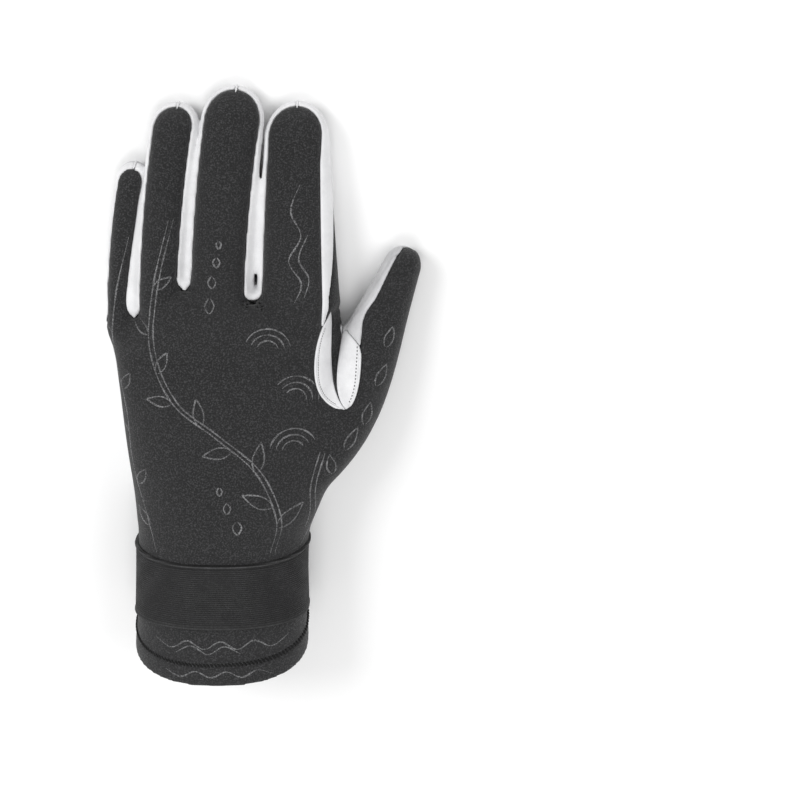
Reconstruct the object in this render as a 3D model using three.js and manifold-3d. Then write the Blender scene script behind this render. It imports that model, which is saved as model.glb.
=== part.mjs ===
// A wetsuit-style diving glove for the left hand, lying palm down with its fingers along +Y.
// The back, the cuff and the wedge beside the forefinger are black neoprene. The palm, the
// strips between the fingers and the two leaf patches in the thumb's fork are pale synthetic
// leather. An elastic strap with a hook tab closes the wrist.
// Everything is hollow: one skin of lofted sections is cut along its seams into its panels.
// Lengths are in millimetres. While it is made, x runs across from the middle of the hand
// towards the thumb, y from the hem towards the fingertips and z up from the floor.
import * as THREE from "three";
import { mergeVertices } from "three/addons/utils/BufferGeometryUtils.js";
import Module from "manifold-3d";

const wasm = await Module();
wasm.setup();

// Cloth and clearances
const WALL = 2.0;
const SEAM_GAP = 0.35;
const STRAP_WALL = 1.6;
const STRAP_CLEARANCE = 0.4;
const STRAP_SIDE_EASE = 1.2;
const TAB_WALL = 1.4;

// The hand and cuff
const BODY_LENGTH = 144;
const PALM_WIDTH = 97;
const WRIST_HEIGHT = 46.5;
const HEM_SLANT = 10;
const REST_SINK = 1.2;
const NOSE_LENGTH = 8;
const WEB_RIM = 1.3;
const WEB_DEPTH = 8;

// The strap and its tab, and how far the tab's middle lies from the wrist's towards the thumb
const STRAP_START = 15.5;
const STRAP_WIDTH = 28.5;
const TAB_SHIFT = 3.5;
const TAB_LENGTH = 24;
const TAB_EDGE = 1;

// The fingers: the middle finger's length, its width and height at the root, how far it curves,
// and the widest of the pale strips that show beside the black backs of the fingers
const FINGER_LENGTH = 86;
const FINGER_WIDTH = 26.4;
const FINGER_HEIGHT = 28.5;
const FINGER_BOW = 1.4;
const STRIP_WIDTH = 3.3;
const ROOT_DEPTH = 22;
const ROOT_GATHER = 0.15;
const ROOT_NARROWING = 0.25;
const ROOT_TUCK = 4;
const FINGER_LIFT = 0.8;
const FINGER_ARCH = 1.6;
const TIP_MARGIN = 1.8;

// The thumb, from its root's middle, with the width near its tip
const THUMB_LENGTH = 89.3;
const THUMB_WIDTH = 18;
const THUMB_HEIGHT = 33;

// The patches in the fork of the thumb
const FORK_LENGTH = 41;
const FORK_WIDTH = 17;
const WEDGE_REACH = 55;

// How sections are rounded, and how high their widest place and the palm's seam lie
const TOP_ROUNDING = 2.3;
const FLOOR_ROUNDING = 2.9;
const WAIST = 0.45;
const PALM_SEAM = 0.22;

// How finely rings and curves are drawn, and how far cutting solids reach
const BODY_SIDES = 36;
const FINGER_SIDES = 16;
const FINGER_STATIONS = [0.35, 0.7];
const TIP_ANGLES = [30, 55, 76];
const CURVE_STEPS = 6;
const REACH = 300;
const FINEST = 0.01;

// What has to fit under the raised cuff: the strap and its tab
const STRAP_ROOM = STRAP_CLEARANCE + STRAP_WALL + SEAM_GAP + TAB_WALL;

// Sections of the hand and cuff. along is a share of BODY_LENGTH, left and right of
// PALM_WIDTH, top of WRIST_HEIGHT, and lift of STRAP_ROOM.
const BODY_SECTIONS = [
  { along: 0.0, left: 0.4, right: 0.325, top: 1.06, lift: 1 },
  { along: 0.13, left: 0.385, right: 0.322, top: 1.04, lift: 1 },
  { along: 0.3, left: 0.37, right: 0.33, top: 1.01, lift: 1 },
  { along: 0.36, left: 0.372, right: 0.35, top: 1.0, lift: 0.9 },
  { along: 0.46, left: 0.39, right: 0.415, top: 0.96, lift: 0.35 },
  { along: 0.58, left: 0.418, right: 0.455, top: 0.89, lift: 0 },
  { along: 0.74, left: 0.45, right: 0.487, top: 0.79, lift: 0 },
  { along: 0.88, left: 0.49, right: 0.503, top: 0.67, lift: 0 },
];

// Where the knuckle end of the hand lies: across is a share of PALM_WIDTH, along of BODY_LENGTH
const KNUCKLE_LINE = [
  { across: -0.5, along: 0.955 },
  { across: -0.366, along: 0.997 },
  { across: -0.15, along: 1.08 },
  { across: 0.138, along: 1.047 },
  { across: 0.35, along: 0.985 },
  { across: 0.505, along: 0.955 },
];

// The rounded knuckle end: back is a share of NOSE_LENGTH, height of the section's height
const NOSE_SECTIONS = [
  { back: 1.0, height: 0.96 },
  { back: 0.28, height: 0.78 },
  { back: 0.0, height: 0.42 },
];

// The fingers, little finger first. x is a share of PALM_WIDTH and y of BODY_LENGTH, for the
// root's middle. length is a share of FINGER_LENGTH, bow of FINGER_BOW, and lean is degrees
// towards the thumb. The rows of width and height are shares of FINGER_WIDTH and
// FINGER_HEIGHT, at the root and at the tip. left and right say how far the black back stays
// in from the finger's two sides at the root and at the tip, as shares of STRIP_WIDTH.
const FINGER_ROWS = [
  {
    name: "little", x: -0.449, y: 0.979, length: 0.736, lean: 7.7, bow: 1,
    width: [0.485, 0.47], height: [0.79, 0.44], left: [0.52, 0.52], right: [1, 0.3],
  },
  {
    name: "ring", x: -0.263, y: 1.049, length: 0.902, lean: 7.0, bow: 0.86,
    width: [0.758, 0.72], height: [0.965, 0.51], left: [0.91, 0.55], right: [0.88, 0.73],
  },
  {
    name: "middle", x: -0.01, y: 1.035, length: 1, lean: 5.7, bow: 1,
    width: [1, 0.917], height: [1, 0.544], left: [0.58, 0.79], right: [1, 0.55],
  },
  {
    name: "index", x: 0.318, y: 1.014, length: 0.958, lean: 0.6, bow: 0.21,
    width: [1.273, 0.902], height: [0.965, 0.526], left: [1.06, 0.82], right: [2.24, 0.97],
  },
];
const FINGERS = FINGER_ROWS.map((row) => ({
  name: row.name,
  x: row.x,
  y: row.y,
  lean: row.lean,
  length: row.length * FINGER_LENGTH,
  bow: row.bow * FINGER_BOW,
  width: row.width.map((share) => share * FINGER_WIDTH),
  height: row.height.map((share) => share * FINGER_HEIGHT),
  left: row.left.map((share) => share * STRIP_WIDTH),
  right: row.right.map((share) => share * STRIP_WIDTH),
}));
const THUMB = {
  name: "thumb", x: 0.443, y: 0.597, lean: 21.2, bow: 0,
  length: THUMB_LENGTH, width: [THUMB_WIDTH, THUMB_WIDTH],
};

// Sections of the thumb: along is a share of THUMB_LENGTH, width and sway, its shift towards
// the thumb's side, of THUMB_WIDTH, and top and floor of THUMB_HEIGHT.
const THUMB_SECTIONS = [
  { along: -0.27, sway: -0.36, width: 0.84, top: 1.0, floor: 0.273 },
  { along: -0.11, sway: -0.12, width: 1.12, top: 1.0, floor: 0.091 },
  { along: 0.06, sway: 0, width: 1.43, top: 0.94, floor: 0.024 },
  { along: 0.22, sway: 0, width: 1.63, top: 0.864, floor: 0.027 },
  { along: 0.36, sway: 0, width: 1.62, top: 0.788, floor: 0.039 },
  { along: 0.52, sway: 0, width: 1.46, top: 0.697, floor: 0.055 },
  { along: 0.68, sway: 0, width: 1.24, top: 0.606, floor: 0.048 },
  { along: 0.9, sway: 0, width: 1.0, top: 0.5, floor: 0.018 },
];

// The black back's edge on the thumb, past the fork: along is a share of the way from the
// fork to the tip, and across of the thumb's half width
const THUMB_BACK_EDGE = [
  { along: 0, across: 0.61 },
  { along: 0.3, across: 0.5 },
  { along: 0.66, across: 0.37 },
  { along: 0.86, across: 0.3 },
];

// The fork's patches, from their common point at the top of the fork. across is a share of
// FORK_WIDTH and along of FORK_LENGTH. Each edge is one curve through two guide points.
const FORK_EDGES = {
  fingerPatch: [
    { across: -0.25, along: 0.19 }, { across: -0.82, along: -0.17 },
    { across: -0.86, along: -0.76 }, { across: 0.11, along: -0.82 },
  ],
  slitFingerSide: [
    { across: -0.25, along: 0.19 }, { across: -0.18, along: -0.12 },
    { across: -0.44, along: -0.58 }, { across: 0.11, along: -0.82 },
  ],
  slitThumbSide: [
    { across: 0.03, along: 0.04 }, { across: 0.0, along: -0.25 },
    { across: -0.36, along: -0.62 }, { across: 0.11, along: -0.82 },
  ],
  thumbPatch: [
    { across: 0.4, along: 0.05 }, { across: 0.56, along: -0.27 },
    { across: 0.47, along: -0.66 }, { across: 0.11, along: -0.82 },
  ],
};

// Seams of the underside, as shares of PALM_WIDTH across and BODY_LENGTH along
const PALM_HEM = [
  { across: -0.62, along: 0.44 }, { across: 0.31, along: 0.368 },
];
const THUMB_SEAM = [
  { across: 0.31, along: 0.368 }, { across: 0.278, along: 0.556 },
  { across: 0.32, along: 0.68 }, { across: 0.4, along: 0.755 },
  { across: 0.52, along: 0.78 },
];
const LIFELINE_SEAM = [
  { across: 0.52, along: 0.78 }, { across: 0.36, along: 0.741 },
  { across: 0.1, along: 0.646 }, { across: -0.175, along: 0.569 },
  { across: -0.62, along: 0.6 },
];
const THUMB_OUTER_SEAM = [
  { across: 0.31, along: 0.368 }, { across: 0.35, along: 0.417 },
  { across: 0.472, along: 0.59 }, { across: 0.585, along: 0.775 },
  { across: 0.674, along: 0.944 }, { across: 0.83, along: 1.21 },
];

// Small helpers
const { lerp, clamp, degToRad } = THREE.MathUtils;
const signedPower = (value, power) => Math.sign(value) * Math.abs(value) ** power;
const planPoint = (row) =>
  new THREE.Vector2(row.across * PALM_WIDTH, row.along * BODY_LENGTH);
const seamLine = (rows) =>
  new THREE.SplineCurve(rows.map(planPoint)).getPoints(2 * (rows.length - 1));

// A value of a table at a place between its rows
function between(rows, key, at, column) {
  const after = rows.findIndex((row) => row[key] >= at);
  if (after === 0) return rows[0][column];
  if (after < 0) return rows[rows.length - 1][column];
  const [low, high] = [rows[after - 1], rows[after]];
  return lerp(low[column], high[column], (at - low[key]) / (high[key] - low[key]));
}

// A three.js geometry as a manifold solid
function solid(geometry) {
  const bare = geometry.clone();
  bare.deleteAttribute("normal");
  bare.deleteAttribute("uv");
  const merged = mergeVertices(bare, 1e-4);
  const mesh = new wasm.Mesh({
    numProp: 3,
    vertProperties: merged.attributes.position.array,
    triVerts: new Uint32Array(merged.index.array),
  });
  return new wasm.Manifold(mesh);
}

// A closed skin through rings of points, with each end closed across its two halves
function loft(rings) {
  const sides = rings[0].length;
  const positions = rings.flat().flatMap((point) => [point.x, point.y, point.z]);
  const index = [];
  const at = (ring, side) => ring * sides + ((side + sides) % sides);
  for (let ring = 0; ring + 1 < rings.length; ring++)
    for (let side = 0; side < sides; side++) {
      index.push(at(ring, side), at(ring, side + 1), at(ring + 1, side + 1));
      index.push(at(ring, side), at(ring + 1, side + 1), at(ring + 1, side));
    }
  const closeEnd = (ring, forward) => {
    for (let side = 0; side < sides / 2; side++) {
      const corners = [at(ring, side), at(ring, side + 1), at(ring, -side - 1), at(ring, -side)];
      const faces = [[0, 1, 2], [0, 2, 3]].filter(
        ([a, b, c]) => new Set([corners[a], corners[b], corners[c]]).size === 3,
      );
      for (const face of faces) {
        const turned = forward ? face : [...face].reverse();
        index.push(...turned.map((corner) => corners[corner]));
      }
    }
  };
  closeEnd(0, false);
  closeEnd(rings.length - 1, true);
  const geometry = new THREE.BufferGeometry();
  geometry.setAttribute("position", new THREE.Float32BufferAttribute(positions, 3));
  geometry.setIndex(index);
  const made = solid(geometry);
  return made.volume() < 0 ? solid(reversed(geometry)) : made;
}

function reversed(geometry) {
  const index = geometry.index.array;
  for (let i = 0; i < index.length; i += 3) [index[i], index[i + 1]] = [index[i + 1], index[i]];
  return geometry;
}

// One point of a rounded section, at an angle counted from the thumb's side up over the top
function sectionPoint(section, angle, inset) {
  const [c, s] = [Math.cos(angle), Math.sin(angle)];
  const power = 2 / (s >= 0 ? TOP_ROUNDING : FLOOR_ROUNDING);
  const waist = lerp(section.floor, section.top, WAIST);
  const rise = s >= 0 ? section.top - waist : waist - section.floor;
  const ease = section.ease ?? 0;
  const shrink = section.height ?? 1;
  return {
    across: section.middle + signedPower(c, power) * (section.half - inset + ease),
    up: waist + signedPower(s, power) * (rise - inset) * (s >= 0 ? shrink : (1 + shrink) / 2),
    slope: signedPower(s, power),
  };
}

function ringOf(sides, place) {
  return Array.from({ length: sides }, (_, side) => place((side / sides) * 2 * Math.PI));
}

// The hand's section at a distance from the hem
function bodyAt(y) {
  const share = (column) => between(BODY_SECTIONS, "along", y / BODY_LENGTH, column);
  const [left, right] = [share("left") * PALM_WIDTH, share("right") * PALM_WIDTH];
  return {
    middle: (right - left) / 2,
    half: (right + left) / 2,
    top: share("top") * WRIST_HEIGHT,
    floor: share("lift") * STRAP_ROOM - (1 - share("lift")) * REST_SINK,
  };
}

// The knuckle line's place along the hand, curving evenly between its table's rows
function knuckleAt(x) {
  const at = x / PALM_WIDTH;
  const rows = KNUCKLE_LINE;
  const after = clamp(rows.findIndex((row) => row.across >= at), 1, rows.length - 1);
  const [low, high] = [rows[after - 1], rows[after]];
  const share = THREE.MathUtils.smoothstep(at, low.across, high.across);
  return lerp(low.along, high.along, share) * BODY_LENGTH;
}

// The hand and cuff as one solid, drawn in by inset; mouth is how far it runs past the hem
function bodySolid(inset, mouth) {
  const rings = BODY_SECTIONS.map((row, number) => {
    const y = row.along * BODY_LENGTH;
    const section = bodyAt(y);
    const slant = number === 0 ? HEM_SLANT : 0;
    return ringOf(BODY_SIDES, (angle) => {
      const { across, up, slope } = sectionPoint(section, angle, inset);
      return new THREE.Vector3(across, y - slant * slope - (number === 0 ? mouth : 0), up);
    });
  });
  const last = bodyAt(BODY_LENGTH);
  for (const nose of NOSE_SECTIONS) {
    const section = { ...last, height: nose.height };
    rings.push(
      ringOf(BODY_SIDES, (angle) => {
        const { across, up } = sectionPoint(section, angle, inset);
        const y = knuckleAt(across) - inset - nose.back * (NOSE_LENGTH - inset);
        return new THREE.Vector3(across, y, up);
      }),
    );
  }
  return loft(rings);
}

// How far a place before a finger's root has gone into the palm, as a share
const inPalm = (distance) => clamp((-distance - WEB_DEPTH) / (ROOT_DEPTH - WEB_DEPTH), 0, 1);

// A place beside a finger's middle line: distance along it and across it, seen from above
function besideFinger(finger, distance, across) {
  const lean = degToRad(finger.lean);
  const share = clamp(distance / finger.length, 0, 1);
  const side = across - finger.bow * 4 * share * (1 - share);
  const root = new THREE.Vector2(finger.x * PALM_WIDTH, finger.y * BODY_LENGTH);
  if (finger !== THUMB && distance < 0)
    return new THREE.Vector2(
      root.x * (1 - ROOT_GATHER * inPalm(distance)) + side,
      root.y + distance,
    );
  return new THREE.Vector2(
    root.x + Math.sin(lean) * distance + Math.cos(lean) * side,
    root.y + Math.cos(lean) * distance - Math.sin(lean) * side,
  );
}

// The section of a finger or of the thumb at a distance from its root
function fingerAt(finger, distance) {
  if (finger === THUMB) {
    const column = (name) => between(THUMB_SECTIONS, "along", distance / finger.length, name);
    return {
      middle: column("sway") * THUMB_WIDTH,
      half: (column("width") * THUMB_WIDTH) / 2,
      top: column("top") * THUMB_HEIGHT,
      floor: column("floor") * THUMB_HEIGHT,
    };
  }
  const share = clamp(distance / finger.length, 0, 1);
  const tuck = inPalm(distance);
  return {
    middle: 0,
    half: (lerp(...finger.width, share) / 2) * (1 - ROOT_NARROWING * tuck),
    top: lerp(...finger.height, share) - ROOT_TUCK * tuck,
    floor: FINGER_LIFT * (1 - share) + FINGER_ARCH * 4 * share * (1 - share) + ROOT_TUCK * tuck,
  };
}

// A finger as one solid with a round tip, drawn in by inset
function fingerSolid(finger, inset) {
  const tipReach = finger.width[1] / 2;
  const straight = finger.length - tipReach;
  const stations = finger === THUMB
    ? THUMB_SECTIONS.map((row) => row.along * finger.length)
    : [-ROOT_DEPTH, -WEB_DEPTH, 0, ...FINGER_STATIONS.map((share) => share * straight), straight];
  const rings = stations.map((distance) => ({ distance, shrink: 1 }));
  for (const angle of TIP_ANGLES.map(degToRad)) {
    const distance = straight + (tipReach - inset) * Math.sin(angle);
    rings.push({ distance, shrink: Math.cos(angle) });
  }
  return loft(
    rings.map(({ distance, shrink }) => {
      const section = fingerAt(finger, distance);
      const waist = lerp(section.floor, section.top, WAIST);
      return ringOf(FINGER_SIDES, (angle) => {
        const { across, up } = sectionPoint(section, angle, inset);
        const place = besideFinger(finger, distance, across * shrink);
        return new THREE.Vector3(place.x, place.y, lerp(waist, up, shrink));
      });
    }),
  );
}

// Everything above a level floor
function above(floor) {
  const block = new THREE.BoxGeometry(2 * REACH, 2 * REACH, REACH);
  return solid(block.translate(0, 0, floor + REACH / 2));
}

// The whole filled hand, drawn in by inset
function handSolid(inset, mouth) {
  return [...FINGERS, THUMB]
    .map((finger) => fingerSolid(finger, inset))
    .reduce((sum, finger) => sum.add(finger), bodySolid(inset, mouth))
    .intersect(above(inset));
}

const skin = handSolid(0, 0).subtract(handSolid(WALL, 2 * HEM_SLANT));

// Cutting solids. A prism stands on an outline seen from above.
function prism(points) {
  const shape = new THREE.Shape(points);
  const geometry = new THREE.ExtrudeGeometry(shape, { depth: REACH, bevelEnabled: false });
  return solid(geometry.translate(0, 0, -REACH / 2));
}

// An outline pushed outwards on every side; a negative distance draws it in
function grown(points, distance) {
  const turn = THREE.ShapeUtils.isClockWise(points) ? -1 : 1;
  return points.map((point, i) => {
    const before = points[(i + points.length - 1) % points.length];
    const after = points[(i + 1) % points.length];
    const way = after.clone().sub(before).normalize();
    return new THREE.Vector2(
      point.x + way.y * distance * turn,
      point.y - way.x * distance * turn,
    );
  });
}

// A level of the skin, as a share of its height, along the hand and out past the fingertips
const [littleFinger, , middleFinger, forefinger] = FINGERS;
function levelLine(share) {
  const onBody = BODY_SECTIONS.map((row) => {
    const y = row.along * BODY_LENGTH;
    return { y, ...bodyAt(y) };
  });
  const onFinger = [0.15, 0.5, 0.85, 1].map((part) => {
    const distance = part * middleFinger.length;
    return { y: besideFinger(middleFinger, distance, 0).y, ...fingerAt(middleFinger, distance) };
  });
  const line = [...onBody, ...onFinger].map(
    (row) => new THREE.Vector2(row.y, lerp(row.floor, row.top, share)),
  );
  const [first, last] = [line[0], line[line.length - 1]];
  return [
    new THREE.Vector2(first.x - REACH / 2, first.y),
    ...line,
    new THREE.Vector2(last.x + REACH / 2, last.y),
  ];
}

// A prism that runs across the hand, on an outline of places along it and heights
function crossPrism(points) {
  const shape = new THREE.Shape(points);
  const geometry = new THREE.ExtrudeGeometry(shape, { depth: REACH, bevelEnabled: false });
  const across = new THREE.Vector3(1, 0, 0);
  const along = new THREE.Vector3(0, 1, 0);
  const up = new THREE.Vector3(0, 0, 1);
  const turned = new THREE.Matrix4().makeBasis(along, up, across);
  return solid(geometry.translate(0, 0, -REACH / 2).applyMatrix4(turned));
}

// Everything over, or under, a level of the skin, moved up by lift
function overLevel(share, lift) {
  const line = levelLine(share).map((point) => new THREE.Vector2(point.x, point.y + lift));
  const [first, last] = [line[0], line[line.length - 1]];
  return crossPrism([
    ...line,
    new THREE.Vector2(last.x, REACH / 2),
    new THREE.Vector2(first.x, REACH / 2),
  ]);
}
const upper = overLevel(WAIST, SEAM_GAP / 2);
const lower = above(-REACH / 2).subtract(overLevel(WAIST, -SEAM_GAP / 2));
const overPalmSeam = overLevel(PALM_SEAM, SEAM_GAP / 2);
const underPalmSeam = above(-REACH / 2).subtract(overLevel(PALM_SEAM, -SEAM_GAP / 2));

// The fork of the thumb: its patches' edges as curves, and the slit between them
const fork = new THREE.Vector2(
  between(BODY_SECTIONS, "along", 1, "right") * PALM_WIDTH,
  KNUCKLE_LINE[KNUCKLE_LINE.length - 1].along * BODY_LENGTH,
);
function forkEdge(name) {
  const guides = FORK_EDGES[name].map(
    (row) =>
      new THREE.Vector2(fork.x + row.across * FORK_WIDTH, fork.y + row.along * FORK_LENGTH),
  );
  return new THREE.CubicBezierCurve(...guides).getPoints(CURVE_STEPS);
}
const fingerPatchOutline = [
  ...forkEdge("fingerPatch"),
  ...forkEdge("slitFingerSide").reverse().slice(1, -1),
];
const thumbPatchOutline = [
  ...forkEdge("thumbPatch"),
  ...forkEdge("slitThumbSide").reverse().slice(1),
];
const slitOutline = [
  ...forkEdge("slitFingerSide"),
  ...forkEdge("slitThumbSide").reverse().slice(1),
];

// The black back's edge beside one finger, from its root to its tip and down the other side
function fingerBackEdge(finger, leftFrom, rightFrom) {
  const tipReach = finger.width[1] / 2;
  const straight = finger.length - tipReach;
  const side = (sign, strip) => (distance) => {
    const inset = lerp(...strip, distance / finger.length);
    return besideFinger(finger, distance, sign * (fingerAt(finger, distance).half - inset));
  };
  const left = side(-1, finger.left);
  const right = side(1, finger.right);
  const steps = (from) => [from, ...FINGER_STATIONS.map((share) => share * straight)];
  const half = (inset) => fingerAt(finger, straight).half - inset;
  const tip = Array.from({ length: CURVE_STEPS + 1 }, (_, step) => {
    const angle = Math.PI * (1 - step / CURVE_STEPS);
    const inset = angle > Math.PI / 2 ? finger.left[1] : finger.right[1];
    return besideFinger(
      finger,
      straight + (tipReach - TIP_MARGIN) * Math.sin(angle),
      half(inset) * Math.cos(angle),
    );
  });
  return [...steps(leftFrom).map(left), ...tip, ...steps(rightFrom).reverse().map(right)];
}

// The round bottom of the gap between two finger backs
function webBottom(from, to, lowest) {
  const [middle, reach] = [(from.x + to.x) / 2, (to.x - from.x) / 2];
  return Array.from({ length: CURVE_STEPS - 1 }, (_, step) => {
    const angle = ((step + 1) / CURVE_STEPS) * Math.PI;
    const start = lerp(from.y, to.y, (step + 1) / CURVE_STEPS);
    return new THREE.Vector2(
      middle - reach * Math.cos(angle),
      start - (start - lowest) * Math.sin(angle),
    );
  });
}

// How far along a finger a place along the hand lies
const alongFinger = (finger, y) =>
  (y - finger.y * BODY_LENGTH) / Math.cos(degToRad(finger.lean));

// The outline of the whole black back, seen from above
function backOutline() {
  const webs = KNUCKLE_LINE.slice(1, 4).map((row) => ({
    lowest: row.along * BODY_LENGTH - WEB_RIM,
    reach: 3.5,
  }));
  const edges = FINGERS.map((finger, i) => {
    const leftY = i > 0 ? webs[i - 1].lowest + webs[i - 1].reach : finger.y * BODY_LENGTH;
    const rightY = i < 3 ? webs[i].lowest + webs[i].reach : fork.y + 0.35 * FORK_LENGTH;
    return fingerBackEdge(finger, alongFinger(finger, leftY), alongFinger(finger, rightY));
  });
  const outline = [
    new THREE.Vector2(-PALM_WIDTH, -REACH / 3),
    new THREE.Vector2(-PALM_WIDTH, BODY_LENGTH * 0.6),
    planPoint({ across: -0.47, along: 0.72 }),
    planPoint({ across: -0.505, along: 0.93 }),
  ];
  edges.forEach((edge, i) => {
    outline.push(...edge);
    if (i < webs.length)
      outline.push(...webBottom(edge[edge.length - 1], edges[i + 1][0], webs[i].lowest));
  });
  const forkSide = forkEdge("thumbPatch");
  outline.push(...forkEdge("fingerPatch"), ...[...forkSide].reverse().slice(1));
  const pastFork = alongFinger(THUMB, forkSide[0].y);
  const thumbSide = THUMB_BACK_EDGE.map((row) => {
    const distance = lerp(pastFork, THUMB.length, row.along);
    return besideFinger(THUMB, distance, -row.across * fingerAt(THUMB, distance).half);
  });
  outline.push(...thumbSide, besideFinger(THUMB, THUMB.length + WALL, TIP_MARGIN));
  outline.push(new THREE.Vector2(PALM_WIDTH, BODY_LENGTH * 1.3));
  outline.push(new THREE.Vector2(PALM_WIDTH, -REACH / 3));
  return outline;
}

const back = backOutline();
const overBack = prism(back);
const overBackWithGap = prism(grown(back, SEAM_GAP));
const patchesWithGap = [fingerPatchOutline, thumbPatchOutline]
  .map((outline) => prism(grown(outline, SEAM_GAP)))
  .reduce((sum, next) => sum.add(next));
const forkWithGap = patchesWithGap
  .add(prism(grown(slitOutline, SEAM_GAP)))
  .intersect(overLevel(WAIST, -SEAM_GAP / 2));

// A finger's middle line seen from above, half a seam's gap to the side that sign tells
function middleLine(finger, sign) {
  const steps = [-WEB_DEPTH, 0, 0.5 * finger.length, finger.length, 1.4 * finger.length];
  return steps.map((distance) => besideFinger(finger, distance, (sign * SEAM_GAP) / 2));
}

// Pale walls beside the fingers: over the waist outside the black back, and all of the skin
// between the waist and the palm's seam
const sideWalls = skin
  .intersect(overPalmSeam)
  .subtract(upper.intersect(overBackWithGap))
  .subtract(overLevel(WAIST, -SEAM_GAP / 2).intersect(overBack))
  .subtract(forkWithGap);

// Grounds, each seen from above. forkOut is a point out between forefinger and thumb.
const forkOut = besideFinger(THUMB, 1.3 * THUMB.length, -1.8 * THUMB_WIDTH);
const thumbGround = [
  ...seamLine(THUMB_SEAM),
  fork,
  forkOut,
  new THREE.Vector2(PALM_WIDTH * 1.1, BODY_LENGTH * 1.3),
  ...seamLine(THUMB_OUTER_SEAM).reverse().slice(0, -1),
];
const outerGround = [
  ...seamLine(THUMB_OUTER_SEAM),
  new THREE.Vector2(PALM_WIDTH * 1.2, BODY_LENGTH * 1.3),
  new THREE.Vector2(PALM_WIDTH * 1.2, -REACH / 3),
  new THREE.Vector2(THUMB_OUTER_SEAM[0].across * PALM_WIDTH, -REACH / 3),
];
const cuffGround = [
  new THREE.Vector2(-PALM_WIDTH, -REACH / 3),
  ...seamLine(PALM_HEM),
  new THREE.Vector2(PALM_HEM[1].across * PALM_WIDTH, -REACH / 3),
];
const beyondLifeline = [
  ...seamLine(LIFELINE_SEAM).reverse(),
  fork,
  forkOut,
  new THREE.Vector2(PALM_WIDTH, 2 * BODY_LENGTH),
  new THREE.Vector2(-PALM_WIDTH, 2 * BODY_LENGTH),
];
const underFork = prism([
  planPoint({ across: 0.3, along: 0.8 }),
  planPoint(THUMB_SEAM[THUMB_SEAM.length - 1]),
  fork,
  planPoint({ across: 0.3, along: fork.y / BODY_LENGTH }),
]);
const thumbOver = prism([
  fork.clone().add(new THREE.Vector2(0.02 * FORK_WIDTH, 0.02 * FORK_LENGTH)),
  forkOut,
  new THREE.Vector2(PALM_WIDTH * 1.1, BODY_LENGTH * 1.3),
  new THREE.Vector2(PALM_WIDTH * 1.1, fork.y - 0.02 * FORK_LENGTH),
]);

// The black wedge up the forefinger's side, seen from the thumb: level is a share of height
const WEDGE_EDGE = [
  { along: -0.06, level: 0.82 },
  { along: 0.25, level: 0.78 },
  { along: 0.5, level: 0.64 },
  { along: 0.75, level: 0.5 },
  { along: 1, level: 0.24 },
];
const heightAt = (share, y) => {
  const line = levelLine(share);
  const rows = line.map((point) => ({ y: point.x, z: point.y }));
  return between(rows, "y", y, "z");
};
const wedgeOutline = [
  new THREE.Vector2(fork.y + WEDGE_EDGE[0].along * WEDGE_REACH, -REACH / 3),
  new THREE.Vector2(fork.y + WEDGE_REACH, -REACH / 3),
  ...[...WEDGE_EDGE].reverse().map((row) => {
    const y = fork.y + row.along * WEDGE_REACH;
    return new THREE.Vector2(y, heightAt(row.level, y));
  }),
];
const thumbwards = [
  besideFinger(forefinger, -ROOT_DEPTH, 0.25 * forefinger.width[0]),
  besideFinger(forefinger, 1.2 * forefinger.length, 0.25 * forefinger.width[0]),
  forkOut,
  fork.clone().add(new THREE.Vector2(SEAM_GAP, 0)),
];

const wedge = crossPrism(wedgeOutline).intersect(prism(thumbwards));
const wedgeWithGap = crossPrism(grown(wedgeOutline, SEAM_GAP)).intersect(
  prism(grown(thumbwards, SEAM_GAP)),
);

// The panels of the skin
const panels = {};

panels.back_panel = skin
  .intersect(overBack)
  .intersect(upper.add(prism(outerGround)))
  .subtract(forkWithGap);

panels.cuff_front = skin
  .intersect(lower)
  .intersect(prism(grown(cuffGround, -SEAM_GAP / 2)))
  .subtract(prism(grown(outerGround, SEAM_GAP / 2)));

panels.palm_heel = skin
  .intersect(underPalmSeam)
  .subtract(prism(grown(cuffGround, SEAM_GAP / 2)))
  .subtract(prism(grown(outerGround, SEAM_GAP)))
  .subtract(prism(grown(thumbGround, SEAM_GAP / 2)))
  .subtract(prism(grown(beyondLifeline, SEAM_GAP / 2)));

panels.palm_front = skin
  .intersect(
    underPalmSeam
      .intersect(prism(grown(beyondLifeline, -SEAM_GAP / 2)))
      .add(lower.intersect(underFork)),
  )
  .subtract(wedgeWithGap.intersect(overLevel(PALM_SEAM, -SEAM_GAP / 2)))
  .subtract(prism(grown(thumbGround, SEAM_GAP / 2)))
  .subtract(prism(grown(outerGround, SEAM_GAP)));

panels.thumb_front = skin
  .intersect(
    lower
      .intersect(prism(grown(thumbGround, -SEAM_GAP / 2)))
      .add(overLevel(WAIST, -SEAM_GAP).intersect(thumbOver).subtract(overBackWithGap)),
  )
  .subtract(prism(grown(outerGround, SEAM_GAP / 2)))
  .subtract(forkWithGap);

panels.index_web_patch = skin
  .intersect(upper)
  .intersect(prism(fingerPatchOutline))
  .subtract(prism(grown(slitOutline, SEAM_GAP)));

panels.thumb_web_patch = skin
  .intersect(upper)
  .intersect(prism(thumbPatchOutline))
  .subtract(prism(grown(slitOutline, SEAM_GAP)));

panels.web_gusset = skin
  .intersect(overPalmSeam)
  .intersect(wedge.subtract(overBackWithGap).add(upper.intersect(prism(slitOutline))))
  .subtract(patchesWithGap);

panels.index_side_strip = sideWalls
  .intersect(
    prism([...middleLine(forefinger, 1), forkOut, fork.clone().add(new THREE.Vector2(0, SEAM_GAP))]),
  )
  .subtract(wedgeWithGap);

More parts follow.
